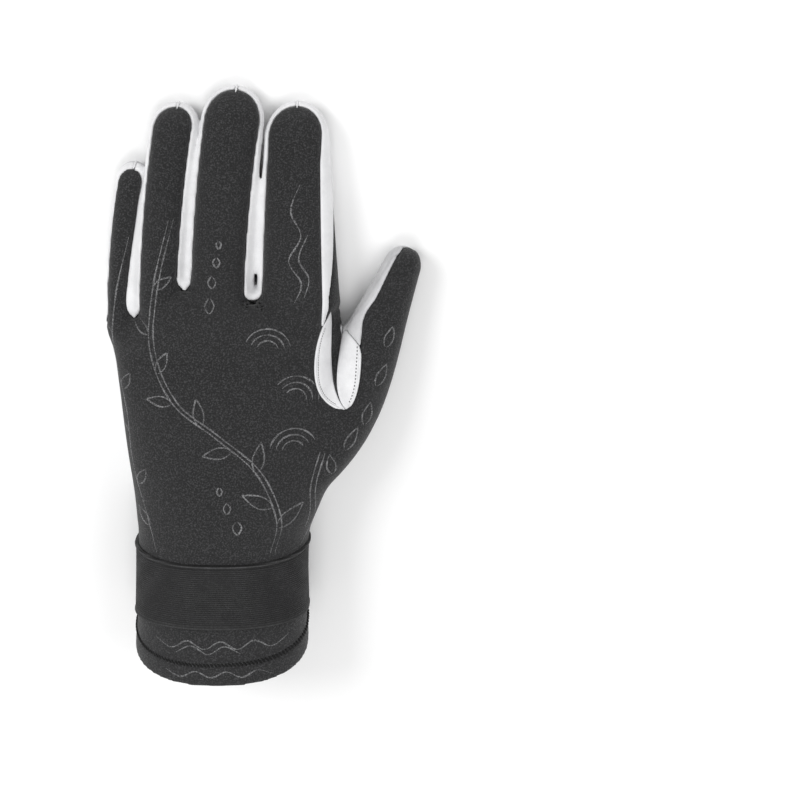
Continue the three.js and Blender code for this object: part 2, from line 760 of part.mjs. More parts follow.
FINGERS.slice(0, 3).forEach((finger, i) => {
  const next = FINGERS[i + 1];
  panels[`fourchette_${finger.name}_${next.name}`] = sideWalls.intersect(
    prism([...middleLine(finger, 1), ...middleLine(next, -1).reverse()]),
  );
});

panels.little_side_strip = sideWalls
  .subtract(prism(grown(cuffGround, SEAM_GAP / 2)))
  .intersect(
    prism([
      planPoint({ across: -1, along: 0.3 }),
      planPoint({ across: -0.2, along: 0.3 }),
      planPoint({ across: -0.3, along: 0.9 }),
      ...middleLine(littleFinger, -1),
      planPoint({ across: -1, along: 2 }),
    ]),
  );

// The elastic strap: a band round the cuff that stands off it by its clearance
function cuffBand(inset, extra) {
  const stations = [STRAP_START - extra, STRAP_START, STRAP_START + STRAP_WIDTH / 2,
    STRAP_START + STRAP_WIDTH, STRAP_START + STRAP_WIDTH + extra];
  const used = extra > 0 ? stations : stations.slice(1, -1);
  return loft(
    used.map((y) => {
      const section = { ...bodyAt(y), ease: STRAP_SIDE_EASE };
      return ringOf(BODY_SIDES, (angle) => {
        const { across, up } = sectionPoint(section, angle, inset);
        return new THREE.Vector3(across, y, up);
      });
    }),
  );
}
const strapInside = -STRAP_CLEARANCE;
const strapOutside = strapInside - STRAP_WALL;
const tabInside = strapOutside - SEAM_GAP;
const tabOutside = tabInside - TAB_WALL;
panels.wrist_strap = cuffBand(strapOutside, 0).subtract(cuffBand(strapInside, 1));

// The hook tab under the wrist, on the strap's outside
const strapMiddle = STRAP_START + STRAP_WIDTH / 2;
const tabBlock = new THREE.BoxGeometry(TAB_LENGTH, STRAP_WIDTH - 2 * TAB_EDGE, WRIST_HEIGHT / 2);
tabBlock.translate(bodyAt(strapMiddle).middle + TAB_SHIFT, strapMiddle, 0);
panels.hook_tab = cuffBand(tabOutside, 1)
  .subtract(cuffBand(tabInside, 2))
  .intersect(solid(tabBlock));

// A manifold solid as a three.js geometry, with points closer than FINEST made one and the
// triangles that collapse by it left out
function geometryOf(body) {
  const { vertProperties, triVerts, numProp } = body.getMesh();
  const positions = Float32Array.from(
    { length: (vertProperties.length / numProp) * 3 },
    (_, i) => vertProperties[Math.floor(i / 3) * numProp + (i % 3)],
  );
  const geometry = new THREE.BufferGeometry();
  geometry.setAttribute("position", new THREE.BufferAttribute(positions, 3));
  geometry.setIndex(new THREE.BufferAttribute(new Uint32Array(triVerts), 1));
  const merged = mergeVertices(geometry, FINEST);
  const corners = merged.index.array;
  const kept = [];
  for (let i = 0; i < corners.length; i += 3) {
    const [a, b, c] = corners.slice(i, i + 3);
    if (a !== b && b !== c && c !== a) kept.push(a, b, c);
  }
  merged.setIndex(kept);
  return merged;
}

// The largest body of a cut, without the slivers that the cut leaves
const largest = (body) =>
  solid(geometryOf(body)).decompose().sort((a, b) => b.volume() - a.volume())[0];

// The scene graph: one named mesh for each piece
const black = new THREE.MeshStandardMaterial({ color: 0x2b2b2d, roughness: 0.85 });
const white = new THREE.MeshStandardMaterial({ color: 0xdedede, roughness: 0.8 });
const elastic = new THREE.MeshStandardMaterial({ color: 0x222224, roughness: 0.7 });
const finishOf = {
  back_panel: black,
  cuff_front: black,
  web_gusset: black,
  wrist_strap: elastic,
  hook_tab: elastic,
};

function meshOf(name, body) {
  const geometry = geometryOf(body);
  geometry.computeVertexNormals();
  const mesh = new THREE.Mesh(geometry, finishOf[name] ?? white);
  mesh.name = name;
  return mesh;
}

const glove = new THREE.Group();
for (const [name, body] of Object.entries(panels)) glove.add(meshOf(name, largest(body)));

// The origin is the middle of the glove's footprint, on the floor
const box = new THREE.Box3().setFromObject(glove);
const centre = box.getCenter(new THREE.Vector3());
glove.position.set(-centre.x, -centre.y, -box.min.z);

export default glove;
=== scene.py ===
# A left-hand diving glove that lies palm down: its panels as soft sewn cloth with their seams,
# piping, stitches, print and wrist strap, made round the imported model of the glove.
# The cloth is worked out in the frame in which the glove is cut, in millimetres: x runs across
# from the middle of the hand towards the thumb, y from the hem towards the fingertips and z up
# from the floor. to_frame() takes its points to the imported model's frame, in metres.
import functools
import math

import bpy
import numpy as np
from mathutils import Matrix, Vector
from mathutils.bvhtree import BVHTree


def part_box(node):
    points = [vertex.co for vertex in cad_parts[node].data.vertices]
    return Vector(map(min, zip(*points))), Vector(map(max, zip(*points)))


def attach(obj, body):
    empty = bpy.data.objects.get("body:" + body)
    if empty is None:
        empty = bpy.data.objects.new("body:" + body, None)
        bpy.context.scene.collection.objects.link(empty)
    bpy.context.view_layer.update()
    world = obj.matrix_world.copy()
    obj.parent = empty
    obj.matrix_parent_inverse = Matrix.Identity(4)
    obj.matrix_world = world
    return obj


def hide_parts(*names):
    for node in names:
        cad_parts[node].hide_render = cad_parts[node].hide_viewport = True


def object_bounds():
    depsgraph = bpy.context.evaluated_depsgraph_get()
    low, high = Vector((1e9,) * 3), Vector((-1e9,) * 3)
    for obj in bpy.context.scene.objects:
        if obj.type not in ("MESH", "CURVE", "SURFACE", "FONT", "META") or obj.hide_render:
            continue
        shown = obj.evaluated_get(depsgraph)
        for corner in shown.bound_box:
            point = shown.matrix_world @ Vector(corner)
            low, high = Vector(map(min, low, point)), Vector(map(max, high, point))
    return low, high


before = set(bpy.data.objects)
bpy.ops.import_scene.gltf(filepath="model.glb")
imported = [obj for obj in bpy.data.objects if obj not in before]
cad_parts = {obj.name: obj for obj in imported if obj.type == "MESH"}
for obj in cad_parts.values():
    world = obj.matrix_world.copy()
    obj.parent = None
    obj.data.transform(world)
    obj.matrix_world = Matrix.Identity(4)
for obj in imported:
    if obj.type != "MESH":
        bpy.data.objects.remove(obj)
cad_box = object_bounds()

# Cloth and the strap's ribs, in millimetres, and how the mesh is evened out on it
WALL = 1.8
SEAM_GAP = 0.12
CLOTH_STEP = 0.87
FINE_STEP = 0.5
SWELL = 0.4
SWELL_REACH = 0.9
SETTLING_ROUNDS = 3
SETTLING_SHARE = 0.5
LEAST_SLOPE = 0.05
BLOCK_MARGIN = 8.0
FINE_MARGIN = 1.0
WHOLE_MARGIN = 4.0
RIB_PITCH = 0.9
RIB_DEPTH = 0.16

# The hand and cuff
BODY_LENGTH = 144.0
PALM_WIDTH = 97.0
WRIST_HEIGHT = 46.5
HEM_SLANT = 10.0
REST_SINK = 1.2
NOSE_LENGTH = 8.0
WEB_RIM = 1.3
WEB_DEPTH = 8.0

# The strap and its tab
STRAP_START = 15.5
STRAP_WIDTH = 28.5
STRAP_WALL = 1.6
STRAP_CLEARANCE = 0.4
STRAP_HUG = 0.5
STRAP_FLARE = 2.7
TAB_GAP = 0.35
TAB_WALL = 1.4
TAB_SHIFT = 3.5
TAB_LENGTH = 24.0
TAB_EDGE = 1.0
STRAP_ROOM = STRAP_CLEARANCE + STRAP_WALL + TAB_GAP + TAB_WALL

# The fingers and the thumb
FINGER_LENGTH = 86.0
FINGER_WIDTH = 26.4
FINGER_HEIGHT = 28.5
FINGER_BOW = 1.4
STRIP_WIDTH = 3.3
ROOT_DEPTH = 22.0
ROOT_START = 3.0
ROOT_GATHER = 0.15
ROOT_NARROWING = 0.25
ROOT_TUCK = 4.0
ROOT_TURN = 9.0
FINGER_LIFT = 0.8
FINGER_ARCH = 1.6
TIP_MARGIN = 0.8
TIP_REACH = 0.58
THUMB_LENGTH = 89.3
THUMB_WIDTH = 18.0
THUMB_HEIGHT = 33.0

# The patches in the fork of the thumb
FORK_LENGTH = 41.0
FORK_WIDTH = 17.0
WEDGE_REACH = 55.0

# How sections are rounded, where their widest place and the palm's seam lie, and how softly
# the fingers grow out of the hand
TOP_ROUNDING = 2.3
FLOOR_ROUNDING = 2.9
WAIST = 0.45
PALM_SEAM = 0.22
EDGE_LEVEL = 0.66
EDGE_LEAN = 0.4
ROOT_BLEND = 5.0
THUMB_BLEND = 3.0
EDGE_BLEND = 0.6
NOSE_BLEND = 1.5
FLOOR_BLEND = 1.0
FLATTEST_NOSE = 0.35
REACH = 300.0

# Sections of the hand and cuff. along is a share of BODY_LENGTH, left and right of
# PALM_WIDTH, top of WRIST_HEIGHT, and lift of STRAP_ROOM.
BODY_SECTIONS = {
    "along": [0.0, 0.13, 0.3, 0.36, 0.46, 0.58, 0.74, 0.88],
    "left": [0.414, 0.4, 0.387, 0.386, 0.397, 0.42, 0.444, 0.466],
    "right": [0.337, 0.334, 0.341, 0.357, 0.417, 0.455, 0.487, 0.503],
    "top": [1.06, 1.04, 1.01, 1.0, 0.96, 0.89, 0.79, 0.67],
    "lift": [1.0, 1.0, 1.0, 0.9, 0.35, 0.0, 0.0, 0.0],
}

# Where the knuckle end of the hand lies: shares of PALM_WIDTH across, BODY_LENGTH along
KNUCKLE_LINE = [
    (-0.5, 0.955), (-0.366, 0.997), (-0.15, 1.08),
    (0.138, 1.047), (0.35, 0.985), (0.505, 0.955),
]

# The fingers, little finger first, with the columns that FINGER_COLUMNS names: x and y are
# the root's middle, as shares of PALM_WIDTH and BODY_LENGTH, length and bow are shares of
# FINGER_LENGTH and FINGER_BOW, lean is degrees towards the thumb, and width, height and the
# pale strips at the left and right are shares of the middle finger's, at root and tip.
FINGER_COLUMNS = ["name", "x", "y", "length", "lean", "bow", "width", "height", "left", "right"]
FINGER_ROWS = [
    ("little", -0.438, 0.979, 0.738, 7.2, 1.0, (0.425, 0.5), (0.79, 0.44), (0.2, 0.25), (1.0, 0.4)),
    ("ring", -0.263, 1.049, 0.904, 7.0, 0.86, (0.758, 0.72), (0.965, 0.51), (0.8, 0.35), (0.88, 0.85)),
    ("middle", -0.01, 1.035, 1.002, 5.7, 1.0, (1.0, 0.917), (1.0, 0.544), (0.58, 0.42), (1.0, 0.4)),
    ("index", 0.318, 1.014, 0.96, 0.6, 0.21, (1.273, 0.902), (0.965, 0.526), (0.75, 0.4), (1.95, 0.85)),
]

# How softly each finger meets the one before it: a shallow valley, and for the forefinger a
# slit, open for a short way past the web
VALLEYS = {"little": 1.0, "ring": 5.0, "middle": 4.0, "index": 6.0}
LEAST_VALLEY = 0.6
VALLEY_FADE = 3.0
SLIT_PLACE = 156.0
SLIT_LENGTH = 5.0
SLIT_SHARE = 0.9
LIMB_MARGIN = 8.0
WIDEST_PLACE = 0.4

# Sections of the thumb: along is a share of THUMB_LENGTH, width and sway of THUMB_WIDTH, and
# top and floor of THUMB_HEIGHT
THUMB_PLACE = (0.443, 0.597)
THUMB_LEAN = 21.2
THUMB_SECTIONS = {
    "along": [-0.27, -0.11, 0.06, 0.22, 0.36, 0.52, 0.68, 0.9],
    "sway": [-0.36, -0.12, 0.0, 0.0, 0.01, 0.045, 0.065, 0.085],
    "width": [0.84, 1.12, 1.43, 1.63, 1.6, 1.37, 1.12, 0.82],
    "top": [1.0, 1.0, 0.94, 0.864, 0.788, 0.697, 0.606, 0.5],
    "floor": [0.273, 0.091, 0.024, 0.027, 0.039, 0.055, 0.048, 0.018],
}

# The black back's edge on the thumb: shares of the way from fork to tip, and of half width
THUMB_BACK_EDGE = [(0.0, 0.56), (0.3, 0.45), (0.66, 0.4), (0.86, 0.3)]

# The fork's patches, from the top of the fork: shares of FORK_WIDTH and FORK_LENGTH
FORK_EDGES = {
    "index_leaf": [(-0.25, 0.19), (-0.82, -0.17), (-0.86, -0.76), (0.11, -0.82)],
    "slit_index": [(-0.25, 0.19), (-0.18, -0.12), (-0.44, -0.58), (0.11, -0.82)],
    "slit_thumb": [(0.03, 0.04), (0.0, -0.25), (-0.36, -0.62), (0.11, -0.82)],
    "thumb_leaf": [(0.4, 0.05), (0.56, -0.27), (0.47, -0.66), (0.11, -0.82)],
}
THUMB_LEAF_TOP = [(0.0, -0.04), (0.16, -0.066), (0.3, -0.105), (0.447, -0.17)]

# Where the black back ends: its edge on the little finger's side, how far past the webs the
# finger backs start, and where the forefinger's edge starts above the fork
LITTLE_SIDE_EDGE = [(-0.56, 0.6), (-0.47, 0.72), (-0.505, 0.93)]
WEB_REACHES = [7.0, 5.5, 5.0]
INDEX_EDGE_START = 0.085
TIP_STRIP_THINNING = 0.4

# How the back's edge draws in on a finger's steep side: its shares of PALM_WIDTH are where the
# little finger's own, lower edge passes into the others'
LEAN_CHANGE = (-0.44, -0.36)
LEVEL_CHANGE = (-0.4, -0.33)
LITTLE_EDGE_LEVEL = 0.72
LITTLE_LEAN_START = -30.0
LEAN_END = 12.0
FORK_LEAN_FADE = 4.0

# Seams and stitch rows of the underside: shares of PALM_WIDTH across, BODY_LENGTH along
PALM_HEM = [(-0.62, 0.44), (0.31, 0.368)]
THUMB_SEAM = [(0.31, 0.368), (0.278, 0.556), (0.32, 0.68), (0.4, 0.755), (0.52, 0.78)]
LIFELINE = [(0.52, 0.78), (0.36, 0.741), (0.1, 0.646), (-0.175, 0.569), (-0.62, 0.6)]
THUMB_OUTER_SEAM = [
    (0.31, 0.368), (0.35, 0.417), (0.472, 0.59), (0.585, 0.775), (0.674, 0.944), (0.83, 1.21),
]
LOWER_CHANNEL = [(0.495, 0.863), (0.186, 0.819), (-0.124, 0.773), (-0.45, 0.735)]
UPPER_CHANNEL = [
    (0.5, 1.0), (0.34, 1.023), (0.134, 1.014), (-0.124, 0.979), (-0.33, 0.944), (-0.48, 0.9),
]

# The black wedge up the forefinger's side: shares of WEDGE_REACH past the fork, of the height
WEDGE_EDGE = [(-0.06, 0.82), (0.25, 0.78), (0.5, 0.64), (0.75, 0.5), (1.0, 0.24)]


# Small helpers for numbers, curves and outlines
def smoothstep(low, high, value):
    share = np.clip((value - low) / (high - low), 0.0, 1.0)
    return share * share * (3.0 - 2.0 * share)


def mix(low, high, share):
    return low + (high - low) * share


def curve_value(at, places, values):
    """A smooth curve's value through a table's rows, level past its two ends."""
    places = np.asarray(places, float)
    values = np.asarray(values, float)
    slopes = np.gradient(values, places)
    row = np.clip(np.searchsorted(places, at) - 1, 0, len(places) - 2)
    width = places[row + 1] - places[row]
    t = np.clip((at - places[row]) / width, 0.0, 1.0)
    rise = values[row + 1] - values[row]
    start = slopes[row] * width
    end = slopes[row + 1] * width
    return values[row] + t * (start + t * ((3 * rise - 2 * start - end) + t * (start + end - 2 * rise)))


def smooth_min(a, b, blend):
    share = np.maximum(blend - np.abs(a - b), 0.0) / blend
    return np.minimum(a, b) - share * share * blend / 4.0


def smooth_max(a, b, blend):
    return -smooth_min(-a, -b, blend)


def spline(points, steps):
    """Points of a smooth line through the given ones, steps of them from each to the next."""
    points = np.asarray(points, float)
    padded = np.vstack([2 * points[0] - points[1], points, 2 * points[-1] - points[-2]])
    made = []
    for before, start, end, after in zip(padded, padded[1:], padded[2:], padded[3:]):
        for t in np.arange(steps) / steps:
            pull = (before * (-t + 2 * t * t - t ** 3) + start * (2 - 5 * t * t + 3 * t ** 3)
                    + end * (t + 4 * t * t - 3 * t ** 3) + after * (t ** 3 - t * t))
            made.append(pull / 2)
    made.append(points[-1])
    return np.array(made)


def bezier(guides, steps):
    t = np.linspace(0.0, 1.0, steps)[:, None]
    a, b, c, d = np.asarray(guides, float)
    return a * (1 - t) ** 3 + 3 * b * t * (1 - t) ** 2 + 3 * c * t * t * (1 - t) + d * t ** 3


def on_hand(shares):
    """Shares of PALM_WIDTH and BODY_LENGTH as a place in plan."""
    return np.asarray(shares, float) * (PALM_WIDTH, BODY_LENGTH)


def seam(rows, steps=8):
    return spline(on_hand(rows), steps) if len(rows) > 2 else on_hand(rows)


def evenly(line, pitch):
    """Points along a line at an even pitch, and the way the line runs at each."""
    line = np.asarray(line, float)
    gone = np.concatenate([[0.0], np.cumsum(np.linalg.norm(np.diff(line, axis=0), axis=1))])
    places = np.arange(pitch / 2, gone[-1], pitch)
    behind, points, ahead = (
        np.stack([np.interp(places + shift, gone, column) for column in line.T], axis=1)
        for shift in (-pitch / 4, 0.0, pitch / 4)
    )
    ways = ahead - behind
    return points, ways / np.maximum(np.linalg.norm(ways, axis=1, keepdims=True), 1e-9)


def line_distance(line, across, along):
    """How far places lie from an open line."""
    across, along = np.broadcast_arrays(across, along)
    nearest = np.full(across.shape, REACH * REACH)
    for (ax, ay), (bx, by) in zip(line[:-1], line[1:]):
        ex, ey = bx - ax, by - ay
        length = ex * ex + ey * ey
        if length < 1e-12:
            continue
        share = np.clip(((across - ax) * ex + (along - ay) * ey) / length, 0.0, 1.0)
        nearest = np.minimum(nearest, (across - ax - share * ex) ** 2 + (along - ay - share * ey) ** 2)
    return np.sqrt(nearest)


def outline_distance(outline, across, along):
    """How far places lie outside an outline, negative inside it."""
    across, along = np.broadcast_arrays(across, along)
    closed = [*outline, outline[0]]
    inside = np.zeros(across.shape, bool)
    for (ax, ay), (bx, by) in zip(closed, closed[1:]):
        if ay != by:
            crossed = (ay > along) != (by > along)
            inside ^= crossed & (across < (bx - ax) * (along - ay) / (by - ay) + ax)
    return np.where(inside, -1.0, 1.0) * line_distance(closed, across, along)


def within(*fields):
    """The distance outside what all of the given fields hold."""
    return functools.reduce(np.maximum, fields)


def joined(*fields):
    """The distance outside what any of the given fields holds."""
    return functools.reduce(np.minimum, fields)


# Fingers and thumb in millimetres
class Limb:
    def __init__(self, name, x, y, length, lean, bow, width, height, left, right):
        self.name = name
        self.x = x * PALM_WIDTH
        self.y = y * BODY_LENGTH
        self.length = length * FINGER_LENGTH
        self.lean = math.radians(lean)
        self.bow = bow * FINGER_BOW
        self.width = [share * FINGER_WIDTH for share in width]
        self.height = [share * FINGER_HEIGHT for share in height]
        self.left = [share * STRIP_WIDTH for share in left]
        self.right = [share * STRIP_WIDTH for share in right]
        self.tip_reach = self.width[1] * TIP_REACH
        self.straight = self.length - self.tip_reach
        self.root_depth = ROOT_DEPTH

    def tuck(self, along):
        return smoothstep(ROOT_START, ROOT_DEPTH, -along)

    def place(self, along, across):
        """A place beside the finger's middle line, in plan."""
        share = min(max(along / self.length, 0.0), 1.0)
        side = across - self.bow * 4 * share * (1 - share)
        if along < 0:
            return np.array([self.x * (1 - ROOT_GATHER * self.tuck(along)) + side, self.y + along])
        s, c = math.sin(self.lean), math.cos(self.lean)
        return np.array([self.x + s * along + c * side, self.y + c * along - s * side])

    def beside(self, x, y):
        """How far places lie along and across the finger. The lean comes in softly."""
        lean = self.lean * smoothstep(-ROOT_TURN, ROOT_TURN, y - self.y)
        along = (x - self.x) * np.sin(lean) + (y - self.y) * np.cos(lean)
        share = np.clip(along / self.length, 0.0, 1.0)
        across = (x - self.x) * np.cos(lean) - (y - self.y) * np.sin(lean)
        across = across + self.bow * 4 * share * (1 - share) + self.x * ROOT_GATHER * self.tuck(along)
        return along, across

    def section(self, along):
        share = np.clip(along / self.length, 0.0, 1.0)
        tuck = self.tuck(along)
        half = mix(*self.width, share) / 2 * (1 - ROOT_NARROWING * tuck)
        top = mix(*self.height, share) - ROOT_TUCK * tuck
        floor = FINGER_LIFT * (1 - share) + FINGER_ARCH * 4 * share * (1 - share) + ROOT_TUCK * tuck
        return half, top, floor


class Thumb(Limb):
    def __init__(self):
        self.name = "thumb"
        self.x, self.y = on_hand(THUMB_PLACE)
        self.length = THUMB_LENGTH
        self.lean = math.radians(THUMB_LEAN)
        self.tip_reach = THUMB_WIDTH / 2
        self.straight = self.length - self.tip_reach
        self.root_depth = -THUMB_SECTIONS["along"][0] * THUMB_LENGTH

    def column(self, name, along):
        return curve_value(along / self.length, THUMB_SECTIONS["along"], THUMB_SECTIONS[name])

    def place(self, along, across):
        s, c = math.sin(self.lean), math.cos(self.lean)
        return np.array([self.x + s * along + c * across, self.y + c * along - s * across])

    def beside(self, x, y):
        s, c = math.sin(self.lean), math.cos(self.lean)
        along = (x - self.x) * s + (y - self.y) * c
        across = (x - self.x) * c - (y - self.y) * s
        return along, across - self.column("sway", along) * THUMB_WIDTH

    def section(self, along):
        half = self.column("width", along) * THUMB_WIDTH / 2
        return half, self.column("top", along) * THUMB_HEIGHT, self.column("floor", along) * THUMB_HEIGHT


FINGERS = [Limb(**dict(zip(FINGER_COLUMNS, row))) for row in FINGER_ROWS]
LITTLE, _, MIDDLE, INDEX = FINGERS
THUMB = Thumb()
LIMBS = [*FINGERS, THUMB]


# The hand's form as a distance outside its skin, negative inside
def rounded(across, z, half, top, floor, past=0.0, tip=1.0, squeeze=1.0):
    """The distance from a rounded section whose end, past its straight part, is round too."""
    waist = mix(floor, top, WAIST)
    over = z >= waist
    power = np.where(over, TOP_ROUNDING, FLOOR_ROUNDING)
    rise = np.where(over, (top - waist) * squeeze, (waist - floor) * (1 + squeeze) / 2)
    u = np.abs(across) / half + 1e-6
    v = np.abs(z - waist) / rise + 1e-6
    side = u ** power
    height = v ** power
    round_part = (side + height) ** (1.0 / power)
    end = np.maximum(past, 0.0) / tip
    radius = np.sqrt(round_part ** 2 + end ** 2)
    steep = round_part ** (1.0 - power)
    slope = np.sqrt((steep * side / u / half) ** 2 + (steep * height / v / rise) ** 2)
    slope = np.sqrt((slope * round_part / radius) ** 2 + (end / tip / radius) ** 2)
    return (radius - 1.0) / np.maximum(slope, 1e-4)


def body_section(y):
    share = {name: curve_value(y / BODY_LENGTH, BODY_SECTIONS["along"], rows)
             for name, rows in BODY_SECTIONS.items() if name != "along"}
    left, right = share["left"] * PALM_WIDTH, share["right"] * PALM_WIDTH
    floor = share["lift"] * STRAP_ROOM - (1 - share["lift"]) * REST_SINK
    return (right - left) / 2, (right + left) / 2, share["top"] * WRIST_HEIGHT, floor


def knuckle(x):
    line = np.zeros_like(x) + KNUCKLE_LINE[0][1]
    for (across, along), (next_across, next_along) in zip(KNUCKLE_LINE, KNUCKLE_LINE[1:]):
        line = line + (next_along - along) * smoothstep(across, next_across, x / PALM_WIDTH)
    return line * BODY_LENGTH


def body_distance(x, y, z):
    middle, half, top, floor = body_section(y)
    share = np.clip((y - knuckle(x) + NOSE_LENGTH) / NOSE_LENGTH, 0.0, 1.0)
    squeeze = np.maximum((1 - share ** TOP_ROUNDING) ** (1 / TOP_ROUNDING), FLATTEST_NOSE)
    skin = rounded(x - middle, z, half, top, floor, squeeze=squeeze)
    return smooth_max(skin, y - knuckle(x), NOSE_BLEND)


def limb_distance(limb, x, y, z):
    along, across = limb.beside(x, y)
    half, top, floor = limb.section(along)
    skin = rounded(across, z, half, top, floor, along - limb.straight, limb.tip_reach)
    return np.maximum(skin, -limb.root_depth - along)


def hand_distance(x, y, z):
    """The whole filled hand, worked out for each limb only near it."""
    fingers = np.full(np.broadcast_shapes(x.shape, y.shape, z.shape), REACH)
    thumb = fingers.copy()
    finger_waist = WAIST * FINGER_HEIGHT
    fade = smoothstep(finger_waist - VALLEY_FADE, finger_waist + VALLEY_FADE, z)
    for limb in LIMBS:
        ends = np.array([limb.place(-limb.root_depth, 0), limb.place(limb.length, 0)])
        reach = limb.section(WIDEST_PLACE * limb.length)[0] + LIMB_MARGIN
        low, high = ends.min(axis=0) - reach, ends.max(axis=0) + reach
        xs = np.nonzero((x.ravel() > low[0]) & (x.ravel() < high[0]))[0]
        ys = np.nonzero((y.ravel() > low[1]) & (y.ravel() < high[1]))[0]
        if not len(xs) or not len(ys):
            continue
        part = (slice(xs[0], xs[-1] + 1), slice(ys[0], ys[-1] + 1))
        near_y = y[:, part[1]]
        skin = limb_distance(limb, x[part[0]], near_y, z)
        if limb is THUMB:
            thumb[part] = skin
            continue
        valley = VALLEYS[limb.name] * fade
        if limb is INDEX:
            valley = valley * (1 - SLIT_SHARE * np.exp(-((near_y - SLIT_PLACE) / SLIT_LENGTH) ** 2))
        fingers[part] = smooth_min(fingers[part], skin, valley + LEAST_VALLEY)
    whole = smooth_min(body_distance(x, y, z), fingers, ROOT_BLEND)
    return smooth_max(smooth_min(whole, thumb, THUMB_BLEND), -z, FLOOR_BLEND)


def level(share, y):
    """The height of a level of the skin along the hand and out past the fingertips."""
    body_rows = [along * BODY_LENGTH for along in BODY_SECTIONS["along"]]
    heights = [mix(section[3], section[2], share) for section in map(body_section, body_rows)]
    for part in (0.15, 0.5, 0.85, 1.0):
        _, top, floor = MIDDLE.section(part * MIDDLE.length)
        body_rows.append(MIDDLE.place(part * MIDDLE.length, 0)[1])
        heights.append(mix(floor, top, share))
    return curve_value(y, body_rows, heights)


# Outlines of the panels, seen from above
fork = np.array([BODY_SECTIONS["right"][-1] * PALM_WIDTH, KNUCKLE_LINE[-1][1] * BODY_LENGTH])


def fork_edge(name, steps=14):
    return bezier(fork + np.array(FORK_EDGES[name]) * (FORK_WIDTH, FORK_LENGTH), steps)


def finger_back_edge(finger, left_from, right_from):
    """The black back's edge from a finger's root to its tip and down the other side."""
    def side(sign, strip, along):
        inset = mix(*strip, along / finger.length)
        return finger.place(along, sign * (finger.section(along)[0] - inset))

    half = finger.section(finger.straight)[0]
    tip = []
    for angle in np.linspace(math.pi, 0.0, 15):
        inset = mix(finger.right[1], finger.left[1], (1 - math.cos(angle)) / 2)
        inset *= 1 - TIP_STRIP_THINNING * math.sin(angle)
        across = (half - inset) * math.cos(angle)
        tip.append(finger.place(finger.straight + (finger.tip_reach - TIP_MARGIN) * math.sin(angle), across))
    up = [side(-1, finger.left, along) for along in np.linspace(left_from, finger.straight, 9)[:-1]]
    down = [side(1, finger.right, along) for along in np.linspace(right_from, finger.straight, 9)[:-1]]
    return up + tip + down[::-1]


def web_bottom(start, end, lowest):
    """The round bottom of the gap between two finger backs."""
    made = []
    for angle in np.linspace(0.0, math.pi, 11)[1:-1]:
        share = angle / math.pi
        from_y = mix(start[1], end[1], share)
        across = mix(start[0], end[0], (1 - math.cos(angle)) / 2)
        made.append(np.array([across, from_y - (from_y - lowest) * math.sin(angle)]))
    return made


def back_outline():
    webs = [along * BODY_LENGTH - WEB_RIM for _, along in KNUCKLE_LINE[1:4]]
    outline = [np.array([-PALM_WIDTH, -REACH / 3]), np.array([-PALM_WIDTH, BODY_LENGTH * 0.6])]
    outline += list(spline(on_hand(LITTLE_SIDE_EDGE), 6)[6:])
    for number, finger in enumerate(FINGERS):
        def along_at(y):
            return (y - finger.y) / math.cos(finger.lean)
        left_y = webs[number - 1] + WEB_REACHES[number - 1] if number else finger.y
        right_y = fork[1] + INDEX_EDGE_START * FORK_LENGTH
        if finger is not INDEX:
            right_y = webs[number] + WEB_REACHES[number]
        edge = finger_back_edge(finger, along_at(left_y), along_at(right_y))
        if number:
            outline += web_bottom(outline[-1], edge[0], webs[number - 1])
        outline += edge
    thumb_leaf = fork_edge("thumb_leaf")
    outline += [*fork_edge("index_leaf")[2:], *thumb_leaf[::-1][1:-4]]
    past_fork = (thumb_leaf[0][1] - THUMB.y) / math.cos(THUMB.lean)
    edge = [thumb_leaf[3]]
    for share, across in THUMB_BACK_EDGE:
        along = mix(past_fork, THUMB.length, share)
        edge.append(THUMB.place(along, -across * THUMB.section(along)[0]))
    edge.append(THUMB.place(THUMB.length + WALL, 0.05 * THUMB.tip_reach))
    outline += list(spline(edge, 6))
    outline += [on_hand((1.0, 1.3)), np.array([PALM_WIDTH, -REACH / 3])]
    return np.array(outline)


def middle_line(finger):
    steps = [-WEB_DEPTH, 0, 0.25, 0.5, 0.75, 1.0, 1.4]
    return [finger.place(step if step <= 0 else step * finger.length, 0) for step in steps]


slit_outline = np.vstack([fork_edge("slit_index"), fork_edge("slit_thumb")[::-1][1:]])
index_leaf_outline = np.vstack([fork_edge("index_leaf"), fork_edge("slit_index")[::-1][1:-1]])
thumb_leaf_top = spline(fork + np.array(THUMB_LEAF_TOP) * (FORK_WIDTH, FORK_LENGTH), 5)
thumb_leaf_outline = np.vstack([
    thumb_leaf_top, fork_edge("thumb_leaf")[4:], fork_edge("slit_thumb")[::-1][1:-2],
])


def past_thumb(share, across):
    """A place at a share of the thumb's length, across it in thumb widths."""
    return THUMB.place(share * THUMB.length, across * THUMB_WIDTH)


